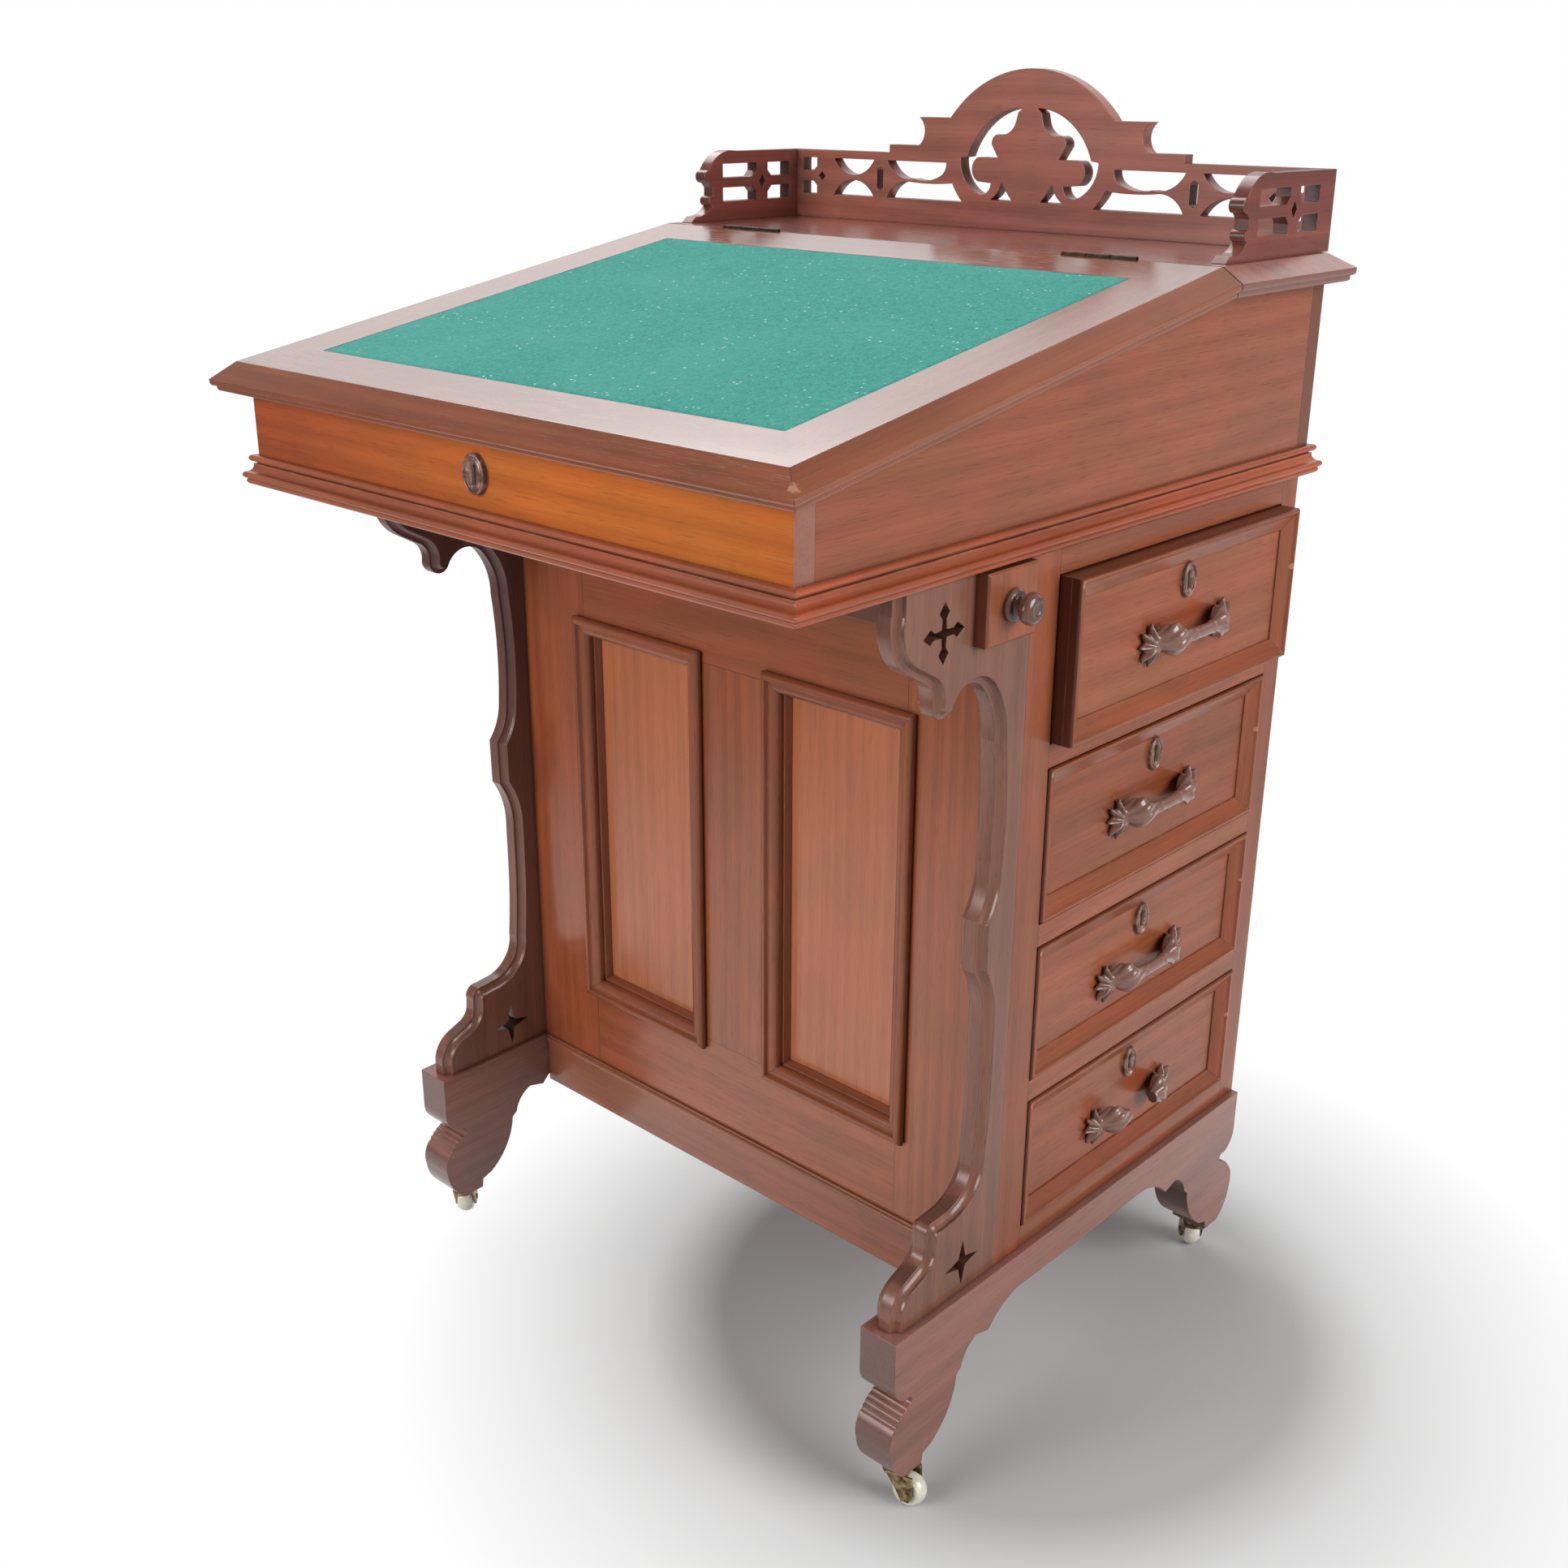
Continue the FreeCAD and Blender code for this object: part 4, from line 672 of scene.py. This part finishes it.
# Half sizes up and out, and places along the grip as shares of GRIP_END.
BAR_SIZE, POD_SWELL = (0.0044, 0.0042), (0.0072, 0.0044)
POD_AT, POD_LENGTH = 0.68, 0.20
COLLAR_SWELL, COLLAR_AT, COLLAR_LENGTH = 0.13, 0.27, 0.035
RIDGE = 0.20                # depth of a pod's ridges, as a share of its size
LEAF_MIDDLE = 0.043
LEAF_PAD = 0.0078           # a leaf's radius between its lobes
LEAF_LOBES = ((4, 0.0176), (38, 0.0195), (74, 0.0182), (112, 0.0150),
              (-34, 0.0172), (-72, 0.0158), (-112, 0.0130))     # direction in degrees, and reach
LOBE_SPREAD, VEIN_SPREAD = 22, 6                                # in degrees
LEAF_CROWN, LEAF_EDGE, VEIN_RISE = 0.0062, 0.0017, 0.0017       # how high each stands
TIP_LIFT = 0.24             # how much a lobe's tip lifts, as a share of its reach beyond the pad
LEAF_THICK, LEAF_ROOT = 0.0021, 0.012   # its thickness, and what that gains towards the middle
LEAF_BACK = -0.0002         # just behind the face that carries it
LEAF_SPOKES, LEAF_ROWS = 126, 14
HANDLE_VOXEL = 0.00085


def eased(value, low, high):
    share = min(max((value - low) / (high - low), 0.0), 1.0)
    return share * share * (3 - 2 * share)


def grip(start, end):
    """Bowed bar that swells into a ridged pod towards each leaf."""
    rings = []
    for u in np.linspace(start, end, GRIP_RINGS):
        s = abs(u) / GRIP_END
        swell = math.exp(-((s - POD_AT) / POD_LENGTH) ** 2)
        middle = GRIP_BOW * (1 - s ** 2.6) + GRIP_STAND
        tall, deep = [bar + pod * swell for bar, pod in zip(BAR_SIZE, POD_SWELL)]
        ridge = RIDGE * eased(s, 0.28, 0.5) * (1 - eased(s, 0.92, 1.0))
        collar = COLLAR_SWELL * math.exp(-((s - COLLAR_AT) / COLLAR_LENGTH) ** 2)
        ring = []
        for angle in round_angles(GRIP_SPOKES):
            r = 1 + collar + ridge * (abs(math.cos(3.5 * angle + 9 * (s - 0.5))) - 0.75)
            ring.append((u, GRIP_RISE + tall * r * math.sin(angle), middle + deep * r * math.cos(angle)))
        rings.append(ring)
    return closed_tube(rings)


def leaf(side):
    """Pad with pointed lobes, each with a raised vein and a tip that lifts off the face."""
    top, under = [], []
    for row in range(1, LEAF_ROWS + 1):
        t = row / LEAF_ROWS
        ring_top, ring_under = [], []
        for k in range(LEAF_SPOKES):
            angle = 360 * k / LEAF_SPOKES
            gaps = [(abs((angle - a + 180) % 360 - 180), length) for a, length in LEAF_LOBES]
            lobe = max(max(0.0, 1 - gap / LOBE_SPREAD) ** 1.25 * (length - LEAF_PAD) for gap, length in gaps)
            vein = max(math.exp(-(gap / VEIN_SPREAD) ** 2) for gap, _ in gaps)
            r = t * (LEAF_PAD + lobe)
            u = side * (LEAF_MIDDLE + r * math.cos(math.radians(angle)))
            v = r * math.sin(math.radians(angle))
            raised = VEIN_RISE * vein * math.sin(math.pi * t)
            w = LEAF_CROWN * (1 - t ** 2.0) + raised + LEAF_EDGE + TIP_LIFT * lobe * t ** 5
            ring_top.append((u, v, w))
            ring_under.append((u, v, max(LEAF_BACK, w - LEAF_THICK - LEAF_ROOT * (1 - t))))
        top.append(ring_top)
        under.append(ring_under)
    rings = top + list(reversed(under))
    if side < 0:
        rings = [list(reversed(ring)) for ring in rings]
    return closed_tube(rings)


def carved_handle(lost):
    """Points and faces of one handle, carved from one piece; lost is the length broken out of
    its grip."""
    bars = [grip(-GRIP_END, -lost / 2), grip(lost / 2, GRIP_END)] if lost else [grip(-GRIP_END, GRIP_END)]
    rough = mesh_object("rough_handle", *merged(bars + [leaf(-1), leaf(1)]), HANDLE_WOOD)
    remesh = rough.modifiers.new("remesh", "REMESH")
    remesh.mode, remesh.voxel_size = "VOXEL", HANDLE_VOXEL
    soften = rough.modifiers.new("soften", "SMOOTH")
    soften.factor, soften.iterations = 0.5, 2
    ready = rough.evaluated_get(bpy.context.evaluated_depsgraph_get()).to_mesh()
    shape = [tuple(v.co) for v in ready.vertices], [tuple(f.vertices) for f in ready.polygons]
    bpy.data.objects.remove(rough)
    return shape


# ---- keyhole plates ----------------------------------------------------------------------------
HOLE_UP, HOLE_RADIUS = 0.004, 0.0026        # the keyhole's round part
SLOT_HALF, SLOT_FOOT = 0.0018, -0.0072      # and the slot under it
HOLE_LEAST, HOLE_MOST, HOLE_STEP = 0.0005, 0.009, 0.0001
HOLE_RIM, RING_GAP = 0.0006, 0.002          # least metal round the keyhole, more for outer rings
PLATE_SPOKES = 72
# From the rim inwards: share of the way to the rim, and share of the plate's depth.
PLATE_PROFILE = ((1.0, -0.1), (1.0, 0.5), (0.98, 0.82), (0.93, 1.0), (0.87, 0.96), (0.83, 0.72),
                 (0.80, 0.55), (0.76, 0.60), (0.71, 0.80), (0.64, 0.84), (0.45, 0.74), (0.20, 0.66))
PLATE_HOLE = (0.62, -0.1)                   # that share for the keyhole's edge, front and back


def keyhole_reach(angle):
    """From the middle of a plate to the edge of its keyhole: a round hole over a slot."""
    for r in np.arange(HOLE_LEAST, HOLE_MOST, HOLE_STEP):
        u, v = r * math.cos(angle), r * math.sin(angle)
        in_slot = abs(u) < SLOT_HALF and SLOT_FOOT < v < HOLE_UP
        if not (in_slot or math.hypot(u, v - HOLE_UP) < HOLE_RADIUS):
            return r
    return HOLE_MOST


KEYHOLE = [(angle, keyhole_reach(angle)) for angle in round_angles(PLATE_SPOKES)]


def keyhole_ring(grown, w):
    return [((reach + grown) * math.cos(angle), (reach + grown) * math.sin(angle), w)
            for angle, reach in KEYHOLE]


def plate_shape(width, height, depth):
    """Oval plate with a beaded rim, a groove and a dished middle."""
    rings = []
    for share, rise in PLATE_PROFILE:
        ring = []
        for angle, inner in KEYHOLE:
            outer = 1 / math.hypot(math.cos(angle) / (width / 2), math.sin(angle) / (height / 2))
            reach = max(share * outer, inner + HOLE_RIM + RING_GAP * share)
            ring.append((reach * math.cos(angle), reach * math.sin(angle), rise * depth))
        rings.append(ring)
    rings += [keyhole_ring(0.0, rise * depth) for rise in PLATE_HOLE]
    points = [p for ring in rings for p in ring]
    faces = grid_faces(len(rings), PLATE_SPOKES, True)
    last = (len(rings) - 1) * PLATE_SPOKES
    faces += [(last + c, c, (c + 1) % PLATE_SPOKES, last + (c + 1) % PLATE_SPOKES)
              for c in range(PLATE_SPOKES)]
    return points, faces


# Painted shadow in a keyhole: a near-black low plug that fills the keyhole's foot.
LOCK_KEYHOLE_SHADOW = closed_tube([keyhole_ring(0.0003, w) for w in (-0.0003, 0.0006)])


# ---- handles and plates in their places --------------------------------------------------------
# The axis along a piece and the axis out of the face that carries it.
RIGHT_FACE = ((0, 1, 0), (1, 0, 0))
LEFT_FACE = ((0, 1, 0), (-1, 0, 0))
FRONT_FACE = ((1, 0, 0), (0, -1, 0))


def stood(shape, origin, face):
    """A shape's points carried to their place on a face."""
    origin, along, out = [Vector(v) for v in (origin, *face)]
    points = [tuple(origin + along * u + Vector((0, 0, v)) + out * w) for u, v, w in shape[0]]
    turned = along.cross(UP).dot(out) < 0
    return points, [tuple(reversed(f)) for f in shape[1]] if turned else list(shape[1])


def add_keyhole(suffix, node, body, oval, place, face):
    """A plate in place of the node's, with a dark plug of painted shadow in its keyhole."""
    plate = mesh_object(f"oval_plate_{suffix}", *stood(oval, place, face), PLATE)
    hollow = mesh_object(f"painted_keyhole_shadow_{suffix}", *stood(LOCK_KEYHOLE_SHADOW, place, face), KEYHOLE_SHADOW, smooth=False)
    for piece in (plate, hollow):
        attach(piece, body)
    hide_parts(node)


def dress_drawers():
    """Handles and keyholes of the drawers and the box, and the same on the left side's fixed fronts."""
    whole, broken = carved_handle(0.0), carved_handle(GRIP_LOST)
    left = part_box("false_drawer_handles")[1].x
    hands, ovals, hollows = [], [], []
    for number in DRAWERS:
        low, high, centre = centre_of(f"drawer_{number}_handle")
        shape = stood(broken if number == BROKEN_HANDLE else whole, (low.x, centre.y, centre.z), RIGHT_FACE)
        made = mesh_object(f"carved_handle_{number}", *shape, HANDLE_WOOD)
        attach(made, f"drawer_{number}")
        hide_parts(f"drawer_{number}_handle")
        hands.append(stood(whole, (left, centre.y, centre.z), LEFT_FACE))
        low, high, centre = centre_of(f"drawer_{number}_keyhole_plate")
        oval = plate_shape(high.y - low.y, high.z - low.z, high.x - low.x)
        add_keyhole(number, f"drawer_{number}_keyhole_plate", f"drawer_{number}", oval,
                    (low.x, centre.y, centre.z), RIGHT_FACE)
        ovals.append(stood(oval, (left, centre.y, centre.z), LEFT_FACE))
        hollows.append(stood(LOCK_KEYHOLE_SHADOW, (left, centre.y, centre.z), LEFT_FACE))
    made = mesh_object("carved_handles_left", *merged(hands), HANDLE_WOOD)
    plates = mesh_object("oval_plates_left", *merged(ovals), PLATE)
    # Plugs of painted shadow in the keyholes of the left side's fixed fronts.
    darks = mesh_object("painted_keyhole_shadows_left", *merged(hollows), KEYHOLE_SHADOW, smooth=False)
    for piece, slot in ((made, "carved_wood"), (plates, "horn"), (darks, "horn")):
        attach(piece, "carcass")
    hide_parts("false_drawer_handles")

    low, high, centre = centre_of("box_keyhole_plate")
    oval = plate_shape(high.x - low.x, high.z - low.z, high.y - low.y)
    add_keyhole("box", "box_keyhole_plate", "carcass", oval, (centre.x, high.y, centre.z), FRONT_FACE)


# ---- cloth -------------------------------------------------------------------------------------
CLOTH_ACROSS, CLOTH_ALONG = 72, 56          # points of its grid
CLOTH_PROUD = 0.0005                        # how far the nap stands above the CAD's sheet
CLOTH_UNEVEN = 0.000035
CLOTH_EDGE_DROP, CLOTH_EDGE_WIDTH = 0.0011, 0.0012


def spaced(count):
    """-1 to 1, closer together at both ends."""
    return np.sin(np.linspace(-math.pi / 2, math.pi / 2, count))


def make_cloth():
    """Felted cloth let into the lid: a closed sheet with soft edges and a slightly uneven face."""
    centre, half = cloth_middle, cloth_half
    across, along = CLOTH_ACROSS, CLOTH_ALONG
    low, top = centre[2] - half[2], centre[2] + half[2]
    rng = np.random.default_rng(5)
    waves = [(rng.uniform(8, 30), rng.uniform(8, 30), rng.uniform(0, 6.28)) for _ in range(7)]
    turn = Matrix.Rotation(LID_SLOPE, 3, "X")
    points = []
    for layer in (0, 1):
        for v in spaced(along):
            for u in spaced(across):
                x, y, z = centre[0] + u * half[0], centre[1] + v * half[1], low
                if layer:
                    rim = min(half[0] * (1 - abs(u)), half[1] * (1 - abs(v)))
                    uneven = sum(math.sin(a * u + b * v + c) for a, b, c in waves) * CLOTH_UNEVEN
                    drop = CLOTH_EDGE_DROP * math.exp(-rim / CLOTH_EDGE_WIDTH)
                    z = top + CLOTH_PROUD + uneven - drop
                points.append(turn @ Vector((x, y, z)))
    size = across * along
    top_faces = [tuple(size + k for k in f) for f in grid_faces(along, across, False)]
    bottom_faces = [tuple(reversed(f)) for f in grid_faces(along, across, False)]
    loop = (list(range(across)) + [r * across + across - 1 for r in range(1, along)]
            + [(along - 1) * across + c for c in range(across - 2, -1, -1)]
            + [r * across for r in range(along - 2, 0, -1)])
    sides = [(a, b, size + b, size + a) for a, b in zip(loop, loop[1:] + loop[:1])]
    made = mesh_object("baize_cloth", points, top_faces + bottom_faces + sides, BAIZE)
    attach(made, "lid")
    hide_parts("lid_baize")


make_cloth()
dress_drawers()


# ---- light, floor and camera -------------------------------------------------------------------
def area_light(name, place, target, size, power):
    """A soft round lamp, size across, that looks at the target."""
    data = bpy.data.lights.new(name, "AREA")
    data.shape, data.size, data.energy = "DISK", size, power
    lamp = bpy.data.objects.new(name, data)
    bpy.context.scene.collection.objects.link(lamp)
    lamp.location = place
    lamp.rotation_mode = "QUATERNION"
    lamp.rotation_quaternion = (Vector(target) - Vector(place)).to_track_quat("-Z", "Y")


# Place, target, size in metres and power in watts.
area_light("top", (-1.6, 0.9, 2.9), (0.0, 0.0, 0.7), 2.2, 44.0)
area_light("front", (-0.6, -3.0, 1.45), (0.0, -0.1, 0.45), 1.9, 72.0)
area_light("side", (2.6, 0.5, 1.5), (0.25, 0.0, 0.45), 1.8, 66.0)

# Strengths of the background, where 1 is white. The camera sees white, gloss sees it only behind
# the desk, and all other rays get the dim value.
WHITE = (1, 1, 1, 1)
SEEN, OTHER, GLOSS_LEAST = 1.0, 0.27, 0.22
BEHIND_DESK = (-0.62, 0.78, 0.0)


def make_world():
    world = bpy.data.worlds.new("studio")
    bpy.context.scene.world = world
    world.use_nodes = True
    t = Tree(world)
    paths = t.node("ShaderNodeLightPath").outputs
    direction = t.node("ShaderNodeTexCoord").outputs["Generated"]
    behind = t.span(t.vector("DOT_PRODUCT", direction, BEHIND_DESK), 0.40, 0.80)
    raised = t.span(component(t, direction, "z"), 0.02, 0.30)
    gloss = t.math("MULTIPLY_ADD", t.math("MULTIPLY", behind, raised), 1.0 - GLOSS_LEAST, GLOSS_LEAST)
    seen = t.math("MAXIMUM", paths["Is Camera Ray"], paths["Is Transmission Ray"])
    strength = t.mix_value(paths["Is Glossy Ray"], OTHER, gloss)
    strength = t.mix_value(seen, strength, SEEN)
    background = t.node("ShaderNodeBackground", {"Color": WHITE, "Strength": strength})
    t.node("ShaderNodeOutputWorld", {0: background.outputs[0]})


FLOOR_RADIUS, FLOOR_RINGS, FLOOR_SPOKES = 9.0, 40, 96
FLOOR_GREY = (0.46, 0.46, 0.46, 1.0)
SHADOW_MIDDLE = (0.18, 0.08, 0.0)
# How far from there the floor turns to white, and how much of it.
FLOOR_FADE = [(0.24, 0.0), (0.31, 0.46), (0.40, 0.72), (0.51, 1.0)]
FAR_GLOSS, BESIDE_GLOSS = 0.15, 0.62        # what gloss sees of the white far off, and to the right


def make_floor():
    """Pale floor that keeps the shadow and fades to white away from the desk."""
    points = [(0.0, 0.0, 0.0)]
    for ring in range(1, FLOOR_RINGS + 1):
        radius = FLOOR_RADIUS * (ring / FLOOR_RINGS) ** 2
        points += [(radius * math.cos(angle), radius * math.sin(angle), 0)
                   for angle in round_angles(FLOOR_SPOKES)]
    faces = [(0, 1 + k, 1 + (k + 1) % FLOOR_SPOKES) for k in range(FLOOR_SPOKES)]
    for ring in range(FLOOR_RINGS - 1):
        a, b = 1 + ring * FLOOR_SPOKES, 1 + (ring + 1) * FLOOR_SPOKES
        faces += [(a + k, b + k, b + (k + 1) % FLOOR_SPOKES, a + (k + 1) % FLOOR_SPOKES)
                  for k in range(FLOOR_SPOKES)]
    material, t = new_material("floor")
    xyz = t.node("ShaderNodeTexCoord").outputs["Object"]
    paths = t.node("ShaderNodeLightPath").outputs
    shader = t.node("ShaderNodeBsdfPrincipled", {"Base Color": FLOOR_GREY, "Roughness": 0.9,
                                                 "Specular IOR Level": 0.1}).outputs[0]
    away = t.vector("LENGTH", t.vector("SUBTRACT", xyz, SHADOW_MIDDLE))
    shown = t.highest([paths["Is Camera Ray"], paths["Is Transmission Ray"]])
    fade = t.math("MULTIPLY", t.ramp(away, FLOOR_FADE), t.math("MAXIMUM", shown, paths["Is Glossy Ray"]))
    beside = t.span(component(t, xyz, "x"), 0.2, 0.9)
    gloss = t.mix_value(beside, t.span(away, 1.9, 0.9, FAR_GLOSS, 1.0), BESIDE_GLOSS)
    strength = t.mix_value(paths["Is Glossy Ray"], 1.0, gloss)
    white = t.node("ShaderNodeEmission", {"Color": WHITE, "Strength": strength}).outputs[0]
    both = t.node("ShaderNodeMixShader", {0: fade, 1: shader, 2: white}).outputs[0]
    t.node("ShaderNodeOutputMaterial", {0: both})
    floor = mesh_object("floor", points, faces, material, smooth=False)


make_world()
make_floor()

# Fitted to the photo's perspective.
CAMERA_PLACE = (MID_X + 0.9048, -0.9730, 0.9714)
YAW, PITCH, ROLL = 0.75, -0.374, 0.004
LENS, SENSOR = 41.36, 36.0


def make_camera():
    forward = Vector((-math.sin(YAW) * math.cos(PITCH), math.cos(YAW) * math.cos(PITCH), math.sin(PITCH)))
    level = forward.cross(UP).normalized()
    upright = level.cross(forward)
    right = level * math.cos(ROLL) + upright * math.sin(ROLL)
    up = upright * math.cos(ROLL) - level * math.sin(ROLL)
    camera = bpy.data.objects.new("camera", bpy.data.cameras.new("camera"))
    bpy.context.scene.collection.objects.link(camera)
    camera.data.lens, camera.data.sensor_width = LENS, SENSOR
    camera.data.clip_start, camera.data.clip_end = 0.05, 60.0
    turn = Matrix((right, up, -forward)).transposed()
    camera.matrix_world = Matrix.Translation(CAMERA_PLACE) @ turn.to_4x4()
    bpy.context.scene.camera = camera


make_camera()
bpy.context.scene.view_settings.view_transform = "Standard"

bpy.context.view_layer.update()
